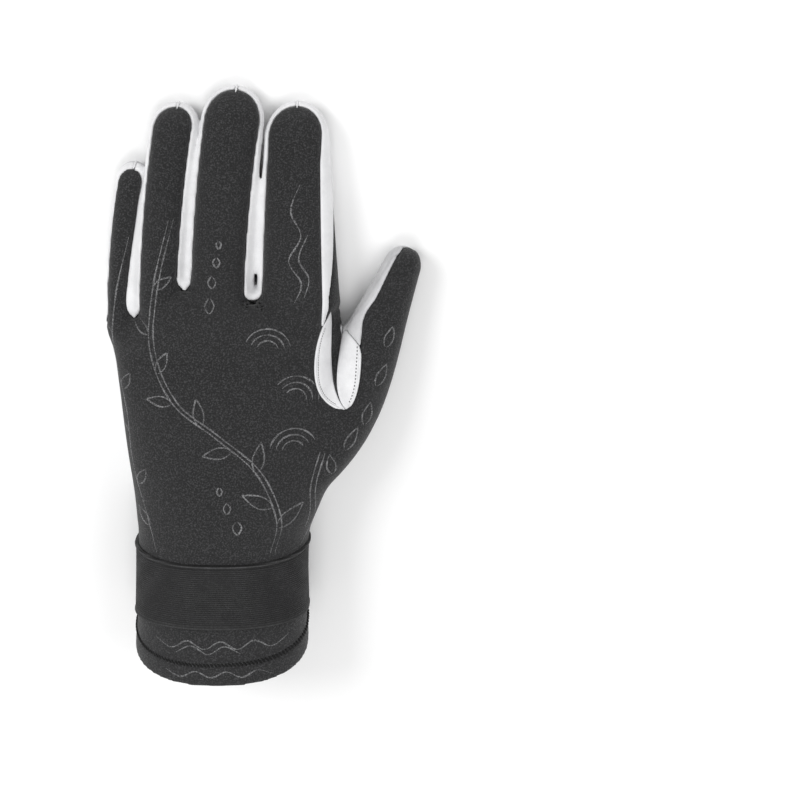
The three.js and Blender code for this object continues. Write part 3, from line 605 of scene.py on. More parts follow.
# The grounds of the panels. The outer corners lie anywhere past the glove.
fork_out = past_thumb(1.3, -1.8)
thumb_side = on_hand((1.1, 1.3))
GROUNDS = {
    "back": back_outline(),
    "slit": slit_outline,
    "index_leaf": index_leaf_outline,
    "thumb_leaf": thumb_leaf_outline,
    "thumb": [*seam(THUMB_SEAM), fork, fork_out, thumb_side, *seam(THUMB_OUTER_SEAM)[::-1][:-1]],
    "outer": [*seam(THUMB_OUTER_SEAM), on_hand((1.2, 1.3)), (PALM_WIDTH * 1.2, -REACH / 3),
              (THUMB_OUTER_SEAM[0][0] * PALM_WIDTH, -REACH / 3)],
    "cuff": [(-PALM_WIDTH, -REACH / 3), *seam(PALM_HEM), (PALM_HEM[1][0] * PALM_WIDTH, -REACH / 3)],
    "front": [*seam(LIFELINE)[::-1], fork, fork_out, on_hand((1, 2)), on_hand((-1, 2))],
    "under_fork": [on_hand((0.3, 0.8)), on_hand(THUMB_SEAM[-1]), fork, (0.3 * PALM_WIDTH, fork[1])],
    "thumb_over": [fork + (0.0, 0.02 * FORK_LENGTH), fork_out, thumb_side,
                   (PALM_WIDTH * 1.1, fork[1] - 0.3 * FORK_LENGTH),
                   fork + (-0.1 * FORK_WIDTH, -0.3 * FORK_LENGTH)],
    "thumb_tip": [past_thumb(0.8, -1), past_thumb(1.3, -1), past_thumb(1.3, 2), past_thumb(0.8, 1)],
    "wedge_side": [INDEX.place(-ROOT_DEPTH, 0.25 * INDEX.width[0]),
                   INDEX.place(1.2 * INDEX.length, 0.25 * INDEX.width[0]), fork_out,
                   fork + (SEAM_GAP, 0)],
    "index_right": [*middle_line(INDEX), fork_out, fork + (0, SEAM_GAP)],
    "little_left": [on_hand((-1, 0.3)), on_hand((-0.2, 0.3)), on_hand((-0.3, 0.9)),
                    *middle_line(LITTLE), on_hand((-1, 2))],
}
for left_finger, right_finger in zip(FINGERS, FINGERS[1:]):
    GROUNDS[f"{left_finger.name}_{right_finger.name}"] = [
        *middle_line(left_finger), *middle_line(right_finger)[::-1]]
wedge_outline = [(fork[1] + WEDGE_EDGE[0][0] * WEDGE_REACH, -REACH), (fork[1] + WEDGE_REACH, -REACH)]
for along, share in WEDGE_EDGE[::-1]:
    wedge_y = fork[1] + along * WEDGE_REACH
    wedge_outline.append((wedge_y, float(level(share, np.array(wedge_y)))))


class Cloth:
    """A block of space with the hand's skin in it, and the grounds that its panels are cut by."""

    def __init__(self, low, high, step):
        self.step = step
        self.low = np.asarray(low, float)
        counts = np.ceil((np.asarray(high, float) - self.low) / step).astype(int) + 1
        lines = [self.low[i] + step * np.arange(counts[i]) for i in range(3)]
        self.x = lines[0][:, None, None]
        self.y = lines[1][None, :, None]
        self.z = lines[2][None, None, :]
        self.hand = hand_distance(self.x, self.y, self.z) - relief(self.x, self.y, self.z)
        self.kept = {}

    def part(self, low, high):
        """The same cloth in a smaller block."""
        lines = [axis.ravel() for axis in (self.x, self.y, self.z)]
        cuts = [slice(np.searchsorted(line, a), np.searchsorted(line, b) + 1)
                for line, a, b in zip(lines, low, high)]
        piece = object.__new__(Cloth)
        piece.step = self.step
        piece.x, piece.y, piece.z = self.x[cuts[0]], self.y[:, cuts[1]], self.z[:, :, cuts[2]]
        piece.low = np.array([piece.x.min(), piece.y.min(), piece.z.min()])
        piece.hand = self.hand[cuts[0], cuts[1], cuts[2]]
        piece.kept = {}
        return piece

    def ground(self, name):
        if name not in self.kept:
            plan = outline_distance(GROUNDS[name], self.x[..., 0], self.y[..., 0])
            self.kept[name] = plan[..., None]
            if name == "back":
                self.kept[name] = self.kept[name] + self.finger_edge_lean()
        return self.kept[name]

    def finger_edge_lean(self):
        """How far the black back's edge draws in where it runs low on a finger's steep side."""
        across = self.x / PALM_WIDTH
        start = mix(LITTLE_LEAN_START, 0.0, smoothstep(*LEAN_CHANGE, across))
        on_fingers = smoothstep(start, LEAN_END, self.y - fork[1] - 0.2 * FORK_LENGTH)
        on_fingers = on_fingers * smoothstep(0.0, FORK_LEAN_FADE, fork[0] + FORK_LEAN_FADE - self.x)
        height = level(EDGE_LEVEL, self.y) * mix(LITTLE_EDGE_LEVEL, 1.0, smoothstep(*LEVEL_CHANGE, across))
        return EDGE_LEAN * on_fingers * np.maximum(height - self.z, 0.0)

    def over(self, share):
        """How far places lie under a level of the skin, negative over it."""
        return level(share, self.y) - self.z

    def wedge(self):
        side = outline_distance(wedge_outline, self.y[0], self.z[0])[None]
        return within(side, self.ground("wedge_side"))

    def patches(self):
        return joined(self.ground("index_leaf"), self.ground("thumb_leaf"))

    def slit(self):
        return within(self.over(WAIST), self.ground("slit"))

    def hem(self):
        _, _, top, floor = body_section(np.zeros(1))
        waist = mix(floor, top, WAIST)[0]
        height = self.z - waist
        height = np.where(height > 0, height / (top[0] - waist), height / (waist - floor[0]))
        return -HEM_SLANT * np.clip(height, -1.0, 1.0) - self.y


# Which part of the skin each panel is
def thumb_tip_region(cloth):
    return within(cloth.over(PALM_SEAM), cloth.ground("thumb_tip"), cloth.ground("back"))


def fork_region(cloth):
    return within(joined(cloth.patches(), cloth.ground("slit")), cloth.over(WAIST))


def back_region(cloth):
    upper = joined(cloth.over(WAIST), cloth.ground("outer"), thumb_tip_region(cloth))
    return within(cloth.ground("back"), upper, -fork_region(cloth))


def cuff_front_region(cloth):
    return within(-cloth.over(WAIST), cloth.ground("cuff"), -cloth.ground("outer"))


def palm_heel_region(cloth):
    others = joined(*(cloth.ground(name) for name in ("cuff", "outer", "thumb", "front")))
    return within(-cloth.over(PALM_SEAM), -others)


def palm_front_region(cloth):
    under_seam = within(-cloth.over(PALM_SEAM), cloth.ground("front"))
    under_fork = within(-cloth.over(WAIST), cloth.ground("under_fork"))
    wedge = within(cloth.wedge(), cloth.over(PALM_SEAM))
    others = joined(cloth.ground("outer"), cloth.ground("thumb"), wedge)
    return within(joined(under_seam, under_fork), -others)


def thumb_front_region(cloth):
    lower = within(-cloth.over(WAIST), cloth.ground("thumb"))
    over = within(cloth.over(WAIST), cloth.ground("thumb_over"), -cloth.ground("back"))
    others = joined(cloth.ground("outer"), fork_region(cloth), cloth.slit(), thumb_tip_region(cloth))
    return within(joined(lower, over), -others)


def leaf_region(name):
    def region(cloth):
        return within(cloth.over(WAIST), cloth.ground(name), -cloth.ground("slit"))
    return region


def gusset_region(cloth):
    both = joined(within(cloth.wedge(), -cloth.ground("back")), cloth.slit())
    return within(cloth.over(PALM_SEAM), both, -within(cloth.patches(), -cloth.ground("slit")))


def side_walls(cloth):
    upper_back = within(cloth.over(WAIST), cloth.ground("back"))
    return within(cloth.over(PALM_SEAM), -joined(upper_back, fork_region(cloth)))


def index_side_region(cloth):
    return within(side_walls(cloth), cloth.ground("index_right"), -cloth.wedge())


def between_fingers(name):
    def region(cloth):
        return within(side_walls(cloth), cloth.ground(name))
    return region


def little_side_region(cloth):
    return within(side_walls(cloth), cloth.ground("little_left"), -cloth.ground("cuff"))


# Low relief of the cloth: padded channels, folds, the fork's hollow and the fold at the hem.
# Wrinkles are given as two ends in plan, how deep and how broad, in millimetres.
THUMB_WRINKLES = [
    ((47.0, 104.0), (41.0, 92.0), 0.9, 1.7),
    ((52.0, 109.0), (47.0, 96.0), 0.8, 1.6),
    ((44.0, 110.0), (37.0, 101.0), 0.7, 1.5),
    ((56.0, 118.0), (50.0, 108.0), 0.5, 1.6),
    ((60.0, 128.0), (56.0, 121.0), 0.35, 2.0),
]
PALM_WRINKLES = [
    ((-20.0, 134.0), (-14.0, 146.0), 0.4, 2.2),
    ((8.0, 134.0), (14.0, 148.0), 0.4, 2.4),
    ((-30.0, 128.0), (-36.0, 140.0), 0.45, 2.0),
    ((24.0, 62.0), (-18.0, 66.0), 0.3, 4.0),
    ((14.0, 76.0), (-26.0, 74.0), 0.25, 4.0),
    ((-6.0, 186.0), (6.0, 188.0), 0.25, 2.5),
    ((24.0, 178.0), (38.0, 176.0), 0.25, 2.5),
    ((-32.0, 178.0), (-22.0, 180.0), 0.25, 2.5),
]
BACK_WRINKLES = [
    ((-35.0, 52.0), (-20.0, 57.0), 0.35, 3.0),
    ((32.0, 50.0), (18.0, 56.0), 0.35, 3.0),
    ((34.0, 66.0), (50.0, 96.0), 0.4, 5.0),
    ((-44.0, 130.0), (-44.0, 146.0), 0.25, 2.5),
    ((58.0, 104.0), (66.0, 110.0), 0.3, 3.0),
]


# Slow waves of the cloth, as height, length and the seed of their random draws, then grooves
# and pads, as depth or height and breadth, and over which heights both sides' relief fades
PALM_WAVES = (0.22, 24.0, 3)
BACK_WAVES = (0.1, 34.0, 8)
WAVE_COUNT = 5
CHANNEL_GROOVE = (1.1, 1.3)
CHANNEL_PAD = (0.35, 5.0)
LIFELINE_GROOVE = (0.55, 1.0)
LIFELINE_SHIFT = (0.3, 1.2)
FORK_HOLLOW = (3.0, 3.4)
HEM_FOLD = 0.3
HEM_FOLD_EDGE = (8.6, 9.6)
BACK_FADE = (-2.0, 5.0)
PALM_FADE = (-1.0, 4.0)


def soft_waves(x, y, height, length, seed):
    """A slow, uneven swelling of the cloth."""
    turns = np.random.default_rng(seed)
    total = 0.0
    for _ in range(WAVE_COUNT):
        way = turns.uniform(0, 2 * math.pi)
        wave = length * turns.uniform(0.6, 1.6)
        start = turns.uniform(0, 2 * math.pi)
        total = total + np.sin((x * math.cos(way) + y * math.sin(way)) * 2 * math.pi / wave + start)
    return height * (total / WAVE_COUNT)


def relief(x, y, z):
    """How far the cloth stands out of the plain hand, or sinks into it."""
    plan_x, plan_y = x[..., 0], y[..., 0]

    def groove(line, depth, breadth):
        return depth * np.exp(-(line_distance(line, plan_x, plan_y) / breadth) ** 2)

    palm = soft_waves(plan_x, plan_y, *PALM_WAVES)
    for start, end, *size in THUMB_WRINKLES + PALM_WRINKLES:
        palm = palm - groove([start, end], *size)
    for row in (LOWER_CHANNEL, UPPER_CHANNEL):
        palm = palm - groove(seam(row), *CHANNEL_GROOVE)
        palm = palm + groove(seam(row), *CHANNEL_PAD)
    palm = palm + groove(seam(LIFELINE) + LIFELINE_SHIFT, *LIFELINE_GROOVE)
    back = soft_waves(plan_x, plan_y, *BACK_WAVES)
    for start, end, *size in BACK_WRINKLES:
        back = back - groove([start, end], *size)
    back = back - groove((fork_edge("slit_index") + fork_edge("slit_thumb")) / 2, *FORK_HOLLOW)
    waist = level(WAIST, y)
    from_hem = y + HEM_SLANT * np.clip((z - waist) / (WRIST_HEIGHT / 2), -1, 1)
    hem_fold = HEM_FOLD * (1 - smoothstep(*HEM_FOLD_EDGE, from_hem))
    on_back = smoothstep(*BACK_FADE, z - waist)
    on_palm = smoothstep(*PALM_FADE, waist - z)
    return back[..., None] * on_back + palm[..., None] * on_palm + hem_fold


# Meshing: the zero surface of a block of distances, as quads whose points sit on it
def cell_mesh(field):
    """Points, in steps of the block, and quads of the surface where a field changes sign."""
    for axis in range(3):
        for end in (0, -1):
            face = [slice(None)] * 3
            face[axis] = end
            field[tuple(face)] = 1.0
    inside = field < 0
    flat = field.ravel()
    strides = np.array([field.shape[1] * field.shape[2], field.shape[2], 1])
    points, cells, corners = [], [], []
    for axis in range(3):
        low, high = [slice(None)] * 3, [slice(None)] * 3
        low[axis], high[axis] = slice(0, -1), slice(1, None)
        index = np.argwhere(inside[tuple(low)] != inside[tuple(high)])
        start = index @ strides
        first, second = flat[start], flat[start + strides[axis]]
        point = index.astype(float)
        point[:, axis] += first / (first - second)
        b, c = strides[(axis + 1) % 3], strides[(axis + 2) % 3]
        around = np.stack([start, start - b, start - b - c, start - c], axis=1)
        around[first > 0] = around[first > 0][:, ::-1]
        points.append(np.repeat(point, 4, axis=0))
        cells.append(around.ravel())
        corners.append(len(start))
    cells = np.concatenate(cells)
    points = np.concatenate(points)
    _, number = np.unique(cells, return_inverse=True)
    count = np.bincount(number)
    middle = np.stack([np.bincount(number, points[:, i]) / count for i in range(3)], axis=1)
    return middle, number.reshape(-1, 4)


def field_at(field, points):
    """A field's value between its places."""
    limit = np.array(field.shape) - 2
    low = np.clip(np.floor(points).astype(int), 0, limit)
    share = points - low
    value = 0.0
    for i in (0, 1):
        for j in (0, 1):
            for k in (0, 1):
                weight = (np.abs(1 - i - share[:, 0]) * np.abs(1 - j - share[:, 1])
                          * np.abs(1 - k - share[:, 2]))
                value = value + weight * field[low[:, 0] + i, low[:, 1] + j, low[:, 2] + k]
    return value


def quad_edges(quads):
    return np.concatenate([quads[:, [i, (i + 1) % 4]] for i in range(4)])


def settled(points, quads, field):
    """The points evened out along the surface and set back onto it."""
    starts, ends = quad_edges(quads).T
    size = len(points)
    count = np.bincount(starts, minlength=size) + np.bincount(ends, minlength=size)
    for _ in range(SETTLING_ROUNDS):
        mean = np.stack([
            np.bincount(starts, points[ends, i], size) + np.bincount(ends, points[starts, i], size)
            for i in range(3)
        ], axis=1) / count[:, None]
        points = mix(points, mean, SETTLING_SHARE)
        value = field_at(field, points)
        slope = np.stack([
            field_at(field, points + 0.5 * step) - field_at(field, points - 0.5 * step) for step in np.eye(3)
        ], axis=1)
        points = points - slope * (value / np.maximum((slope ** 2).sum(axis=1), LEAST_SLOPE))[:, None]
    return points


def largest_body(points, quads):
    """The largest joined part, without the crumbs that a cut leaves."""
    label = np.arange(len(points))
    starts, ends = quad_edges(quads).T
    while True:
        lowest = np.minimum(label[starts], label[ends])
        joint = label.copy()
        np.minimum.at(joint, starts, lowest)
        np.minimum.at(joint, ends, lowest)
        joint = joint[joint]
        if np.array_equal(joint, label):
            break
        label = joint
    _, number, count = np.unique(label, return_inverse=True, return_counts=True)
    keep = number == np.argmax(count)
    new_number = np.cumsum(keep) - 1
    return points[keep], new_number[quads[keep[quads[:, 0]]]]


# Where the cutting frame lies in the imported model's: the strap's lower edge, the tab's middle
# and the palm's flat face are known in both
strap_low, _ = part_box("wrist_strap")
tab_low, tab_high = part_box("hook_tab")
palm_low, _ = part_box("palm_front")
strap_middle = STRAP_START + STRAP_WIDTH / 2
tab_middle = float(body_section(np.array(strap_middle))[0]) + TAB_SHIFT
MM = 0.001
FRAME_SHIFT = np.array([
    (tab_low[0] + tab_high[0]) / 2 / MM - tab_middle,
    strap_low[1] / MM - STRAP_START,
    palm_low[2] / MM,
])


def to_frame(points):
    return (np.asarray(points, float) + FRAME_SHIFT) * MM


def from_frame(point):
    return np.asarray(point, float) / MM - FRAME_SHIFT


def add_piece(name, points, faces, material, replaces=None):
    """A mesh piece from points in the cutting frame, riding on the glove's one body."""
    mesh = bpy.data.meshes.new(name)
    mesh.from_pydata(to_frame(points).tolist(), [], [list(map(int, face)) for face in faces])
    mesh.validate()
    mesh.shade_smooth()
    mesh.materials.append(material)
    piece = bpy.data.objects.new(name, mesh)
    bpy.context.scene.collection.objects.link(piece)
    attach(piece, "root")
    if replaces:
        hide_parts(replaces)
    return piece


def node_block(node):
    low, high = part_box(node)
    return from_frame(low) - BLOCK_MARGIN, from_frame(high) + BLOCK_MARGIN


def cloth_panel(node, cloth, region, material):
    """One panel: the skin inside its region, swelling a little between its seams."""
    piece = cloth.part(*node_block(node))
    edge = region(piece) + SEAM_GAP / 2
    skin = piece.hand - SWELL * (1 - np.exp(np.minimum(edge, 0.0) / SWELL_REACH))
    skin = np.maximum(skin, -piece.z)
    shell = np.maximum(skin, -piece.hand - WALL)
    shell = smooth_max(shell, np.maximum(edge, piece.hem()), EDGE_BLEND)
    points, quads = cell_mesh(shell)
    points = settled(points, quads, shell)
    points, quads = largest_body(points, quads)
    return add_piece(node + "_cloth", points * piece.step + piece.low, quads, material, node)


# Nodes. A number or colour goes on the socket itself, and only what changes over the surface
# is linked.
def set_or_link(tree, socket, value):
    if isinstance(value, bpy.types.NodeSocket):
        tree.links.new(value, socket)
    else:
        socket.default_value = value


def add_node(tree, kind, values):
    node = tree.nodes.new(kind)
    for label, value in values.items():
        set_or_link(tree, node.inputs[label], value)
    return node


def math_node(tree, operation, first, second=0.0):
    node = tree.nodes.new("ShaderNodeMath")
    node.operation = operation
    for socket, value in zip(node.inputs, (first, second)):
        set_or_link(tree, socket, value)
    return node.outputs[0]


def range_node(tree, value, low, high, to_low=0.0, to_high=1.0):
    ends = {"From Min": low, "From Max": high, "To Min": to_low, "To Max": to_high}
    return add_node(tree, "ShaderNodeMapRange", {"Value": value, **ends}).outputs["Result"]


def noise(tree, place, scale, **values):
    return add_node(tree, "ShaderNodeTexNoise", {"Vector": place, "Scale": scale, **values}).outputs["Fac"]


def colour_mix(tree, share, low, high):
    node = tree.nodes.new("ShaderNodeMix")
    node.data_type = "RGBA"
    tree.links.new(share, node.inputs["Factor"])
    for socket, value in ((node.inputs[6], low), (node.inputs[7], high)):
        set_or_link(tree, socket, (*value, 1.0) if isinstance(value, tuple) else value)
    return node.outputs[2]


# Node groups that the materials share: how softly a speck ends, what share of the leather's
# mottle is clouds and how far that strays from its middle, and the range of a grain's height
SPECK_SOFTNESS = 0.16
CLOUD_SHARE = 0.78
MOTTLE_REACH = 0.14
GRAIN_RANGE = (0.3, 0.7)


def shader_group(name, inputs, outputs):
    """An empty group that reads a place, with its input and output nodes."""
    group = bpy.data.node_groups.new(name, "ShaderNodeTree")
    group.interface.new_socket("Vector", in_out="INPUT", socket_type="NodeSocketVector")
    for label, value in inputs.items():
        made = group.interface.new_socket(label, in_out="INPUT", socket_type="NodeSocketFloat")
        made.default_value = value
    for label in outputs:
        group.interface.new_socket(label, in_out="OUTPUT", socket_type="NodeSocketFloat")
    return group, group.nodes.new("NodeGroupInput").outputs, group.nodes.new("NodeGroupOutput").inputs


def specks_group():
    """Fine light specks in a knit: a mask and the height of the yarn's grain."""
    group, given, made = shader_group("knit specks", {"Size": 1500.0, "Rareness": 0.6}, ["Mask", "Height"])
    grain = noise(group, given["Vector"], given["Size"], Detail=2.0, Roughness=0.7)
    full = math_node(group, "ADD", given["Rareness"], SPECK_SOFTNESS)
    group.links.new(range_node(group, grain, given["Rareness"], full), made["Mask"])
    group.links.new(grain, made["Height"])
    return group


def ribs_group():
    """Fine parallel ribs across the length of the glove."""
    group, given, made = shader_group(
        "fine ribs", {"Ribs per metre": 2200.0, "Unevenness": 0.2, "Phase": 0.0}, ["Height"])
    wander = noise(group, given["Vector"], 300.0, Detail=1.0)
    apart = add_node(group, "ShaderNodeSeparateXYZ", {"Vector": given["Vector"]})
    turns = math_node(group, "MULTIPLY", apart.outputs["Y"], given["Ribs per metre"])
    shift = math_node(group, "MULTIPLY", wander, given["Unevenness"])
    turns = math_node(group, "ADD", math_node(group, "ADD", turns, shift), given["Phase"])
    wave = math_node(group, "SINE", math_node(group, "MULTIPLY", turns, 2 * math.pi))
    group.links.new(range_node(group, wave, -1.0, 1.0), made["Height"])
    return group


def nap_group():
    """Soft clouds and fine nap of brushed leather."""
    group, given, made = shader_group("brushed nap", {"Clouds": 70.0, "Nap": 2600.0}, ["Mottle", "Height"])
    clouds = noise(group, given["Vector"], given["Clouds"], Detail=5.0, Roughness=0.62, Distortion=0.4)
    nap = noise(group, given["Vector"], given["Nap"], Detail=2.0, Roughness=0.6)
    fine = math_node(group, "MULTIPLY", nap, 1 - CLOUD_SHARE)
    broad = math_node(group, "MULTIPLY", clouds, CLOUD_SHARE)
    mottle = range_node(group, math_node(group, "ADD", broad, fine), 0.5 - MOTTLE_REACH, 0.5 + MOTTLE_REACH)
    group.links.new(mottle, made["Mottle"])
    group.links.new(nap, made["Height"])
    return group


SPECKS = specks_group()
RIBS = ribs_group()
NAP = nap_group()


# Materials
def new_material(name):
    material = bpy.data.materials.new(name)
    material.use_nodes = True
    tree = material.node_tree
    tree.nodes.clear()
    shader = tree.nodes.new("ShaderNodeBsdfPrincipled")
    output = tree.nodes.new("ShaderNodeOutputMaterial")
    tree.links.new(shader.outputs["BSDF"], output.inputs["Surface"])
    return material, tree, shader


def placed_group(tree, group, values):
    """The outputs of a shared group that reads the place on the object."""
    node = add_node(tree, "ShaderNodeGroup", {})
    node.node_tree = group
    place = tree.nodes.new("ShaderNodeTexCoord").outputs["Object"]
    for label, value in {"Vector": place, **values}.items():
        set_or_link(tree, node.inputs[label], value)
    return node.outputs


def dress(tree, shader, colour, rough, height, depth, specular, sheen=None):
    """The surface's colour, roughness over a range of a value, bump, gloss and sheen."""
    set_or_link(tree, shader.inputs["Base Color"], colour)
    set_or_link(tree, shader.inputs["Roughness"], range_node(tree, *rough))
    bump = add_node(tree, "ShaderNodeBump", {"Height": height, "Strength": 1.0, "Distance": depth})
    tree.links.new(bump.outputs["Normal"], shader.inputs["Normal"])
    shader.inputs["Specular IOR Level"].default_value = specular
    if sheen:
        shader.inputs["Sheen Weight"].default_value = sheen[0]
        shader.inputs["Sheen Roughness"].default_value = sheen[1]


def times(colour, factor):
    return tuple(factor * part for part in colour)


def knit_material(name, dark, light):
    """Neoprene faced with a fine ribbed knit that has light specks in it."""
    material, tree, shader = new_material(name)
    specks = placed_group(tree, SPECKS, {"Size": 1500.0, "Rareness": 0.5})
    ribbing = placed_group(tree, RIBS, {"Ribs per metre": 2300.0})
    patches = placed_group(tree, NAP, {"Clouds": 22.0, "Nap": 900.0})
    ground = colour_mix(tree, patches["Mottle"], dark, times(dark, 1.3))
    ribs = math_node(tree, "MULTIPLY", ribbing["Height"], 0.4)
    dress(tree, shader, colour_mix(tree, specks["Mask"], ground, light),
          (specks["Height"], *GRAIN_RANGE, 0.9, 0.66),
          math_node(tree, "ADD", ribs, specks["Height"]), depth=0.00028, specular=0.35, sheen=(0.12, 0.5))
    return material


def suede_material(name, dark, light, clouds):
    """Brushed synthetic leather with soft clouds in its nap."""
    material, tree, shader = new_material(name)
    nap = placed_group(tree, NAP, {"Clouds": clouds})
    dress(tree, shader, colour_mix(tree, nap["Mottle"], dark, light),
          (nap["Mottle"], 0.0, 1.0, 0.92, 0.78), nap["Height"], depth=0.00012, specular=0.3,
          sheen=(0.25, 0.4))
    return material


def elastic_material(name, dark, light):
    """Woven elastic: pebbly threads over its modelled ribs, with painted shade in the grooves between the
    ribs and a painted highlight on their crests.
    """
    material, tree, shader = new_material(name)
    specks = placed_group(tree, SPECKS, {"Size": 1900.0, "Rareness": 0.52})
    # The colour's rib stripes are set in step with the modelled ribs, so that the painted shade lies in their
    # grooves.
    phase = (-FRAME_SHIFT[1] - STRAP_START) / RIB_PITCH + 0.25
    ribbing = placed_group(tree, RIBS, {"Ribs per metre": 1000 / RIB_PITCH, "Unevenness": 0.0,
                                        "Phase": phase % 1.0})
    weave = placed_group(tree, NAP, {"Clouds": 180.0, "Nap": 2400.0})
    # The weave's mottle makes the painted rib shade and highlight stronger in some places than in others.
    patchiness = range_node(tree, weave["Mottle"], 0.0, 1.0, 0.35, 1.0)
    # Painted highlight on the ribs' crests and painted shade in the grooves between them; the light specks
    # show only on the painted crests.
    rib_shading = math_node(tree, "MULTIPLY", ribbing["Height"], patchiness)
    ground = colour_mix(tree, rib_shading, times(dark, 0.25), times(dark, 1.7))
    specked = math_node(tree, "MULTIPLY", specks["Mask"], rib_shading)
    dress(tree, shader, colour_mix(tree, specked, ground, light),
          (specks["Height"], *GRAIN_RANGE, 0.75, 0.5), specks["Height"], depth=0.0002, specular=0.4)
    return material


def print_material(name, dark, light):
    """Sandy print: pale grains over the knit, thick in places and worn in others."""
    material, tree, shader = new_material(name)
    grains = placed_group(tree, SPECKS, {"Size": 1700.0, "Rareness": 0.4})
    patchiness = placed_group(tree, NAP, {"Clouds": 160.0, "Nap": 900.0})
    share = math_node(tree, "MULTIPLY", grains["Mask"], range_node(tree, patchiness["Mottle"], 0.0, 0.8, 0.35, 1.0))
    dress(tree, shader, colour_mix(tree, share, dark, light),
          (grains["Height"], *GRAIN_RANGE, 0.6, 0.4), grains["Height"], depth=0.0001, specular=0.5)
    return material


def thread_material(name, dark, light):
    """Twisted sewing thread."""
    material, tree, shader = new_material(name)
    fibres = placed_group(tree, SPECKS, {"Size": 5200.0, "Rareness": 0.42})
    dress(tree, shader, colour_mix(tree, fibres["Mask"], dark, light),
          (fibres["Height"], *GRAIN_RANGE, 0.75, 0.5), fibres["Height"], depth=0.00006, specular=0.2)
    return material


knit = knit_material("neoprene knit", (0.009, 0.009, 0.0095), (0.046, 0.046, 0.048))
palm_suede = suede_material("palm suede", (0.5, 0.5, 0.51), (0.68, 0.68, 0.69), clouds=48.0)
side_suede = suede_material("side strip suede", (0.7, 0.7, 0.71), (0.82, 0.82, 0.83), clouds=90.0)
leaf_suede = suede_material("leaf patch suede", (0.68, 0.68, 0.69), (0.8, 0.8, 0.81), clouds=120.0)
# The three elastics carry painted rib shade and highlight in their colour.
elastic = elastic_material("woven elastic", (0.013, 0.013, 0.0135), (0.045, 0.045, 0.046))
rim_elastic = elastic_material("rim elastic", (0.03, 0.03, 0.031), (0.08, 0.08, 0.082))
hook_tape = elastic_material("hook tape", (0.010, 0.010, 0.011), (0.04, 0.04, 0.042))
sandy_print = print_material("sandy print", (0.016, 0.016, 0.0165), (0.2, 0.2, 0.205))
white_thread = thread_material("white thread", (0.55, 0.55, 0.56), (0.8, 0.8, 0.8))
grey_thread = thread_material("grey thread", (0.09, 0.09, 0.09), (0.2, 0.2, 0.2))
black_thread = thread_material("black thread", (0.002, 0.002, 0.002), (0.008, 0.008, 0.008))

# The sewn panels: those of whole-hand size share one block, the small ones get a finer one
whole_low, whole_high = from_frame(cad_box[0]) - WHOLE_MARGIN, from_frame(cad_box[1]) + WHOLE_MARGIN
hand_cloth = Cloth(whole_low, whole_high, CLOTH_STEP)
PANELS = [
    ("back_panel", back_region, knit, "neoprene"),
    ("cuff_front", cuff_front_region, knit, "neoprene"),
    ("palm_heel", palm_heel_region, palm_suede, "suede"),
    ("palm_front", palm_front_region, palm_suede, "suede"),
    ("thumb_front", thumb_front_region, palm_suede, "suede"),
    ("little_side_strip", little_side_region, side_suede, "suede"),
    ("fourchette_little_ring", between_fingers("little_ring"), side_suede, "suede"),
    ("fourchette_ring_middle", between_fingers("ring_middle"), side_suede, "suede"),
    ("fourchette_middle_index", between_fingers("middle_index"), side_suede, "suede"),
]
pieces = {}
for node, region, material, slot in PANELS:
    pieces[node] = cloth_panel(node, hand_cloth, region, material)

SMALL_PANELS = [
    ("index_side_strip", index_side_region, side_suede, "suede"),
    ("index_web_patch", leaf_region("index_leaf"), leaf_suede, "suede"),
    ("thumb_web_patch", leaf_region("thumb_leaf"), leaf_suede, "suede"),
    ("web_gusset", gusset_region, knit, "neoprene"),
]
small_blocks = [node_block(node) for node, *_ in SMALL_PANELS]
fork_cloth = Cloth(
    np.min([low for low, _ in small_blocks], axis=0) - FINE_MARGIN,
    np.max([high for _, high in small_blocks], axis=0) + FINE_MARGIN,
    FINE_STEP,
)
for node, region, material, slot in SMALL_PANELS:
    pieces[node] = cloth_panel(node, fork_cloth, region, material)


# The strap: a ribbed elastic band round the cuff with a rounded rim at each edge. The rim's
# crest is a place from the edge and a breadth, the dip inside it a depth, a place and a breadth.
STRAP_STEPS = 260
RIM_WIDTH = 1.5
RIM_RISE = 0.35
RIM_CREST = (0.8, 0.6)
RIM_DIP = (0.28, 0.55, 0.35)
EDGE_DROP = 0.55
EDGE_ROUND = 0.6
BAND_SINK = 0.25
BAND_INSIDE = STRAP_CLEARANCE - 0.15
INSIDE_STEPS = 12
BAND_OUTSIDE = STRAP_CLEARANCE + STRAP_WALL - STRAP_HUG

# The rim cords' places across the strap and radii, and the tab's finish
RIM_CORDS = [(STRAP_WIDTH - 0.7, 0.5), (0.55, 0.3)]
RIM_CORD_SIDES = 10
TAB_STEPS = (34, 36)
TAB_CORNER = 0.03
TAB_THINNING = 0.5
TAB_BEVEL_START = 0.93
HOOK_DEPTH = 0.09
HOOK_PITCH = 1.1
HOOKS_END = 0.84


def cuff_point(angle, y, stand_off):
    """A place off the cuff's section, counted from the thumb's side up over the top, and the
    section's middle."""
    middle, half, top, floor = (float(part) for part in body_section(np.array(float(y))))
    c, s = math.cos(angle), math.sin(angle)
    power = 2 / (TOP_ROUNDING if s >= 0 else FLOOR_ROUNDING)
    waist = mix(floor, top, WAIST)
    rise = (top - waist if s >= 0 else waist - floor) + stand_off
    across = math.copysign(abs(c) ** power, c) * (half + stand_off)
    point = np.array([middle + across, y, waist + math.copysign(abs(s) ** power, s) * rise])
    return point, np.array([middle, y, waist])


def band_point(angle, y, stand_off):
    """A place on the strap, which slants a little at both sides of the cuff."""
    point, _ = cuff_point(angle, y, stand_off)
    point[1] += STRAP_FLARE * abs(math.cos(angle)) ** 3 * (y - STRAP_START) / STRAP_WIDTH
    return point


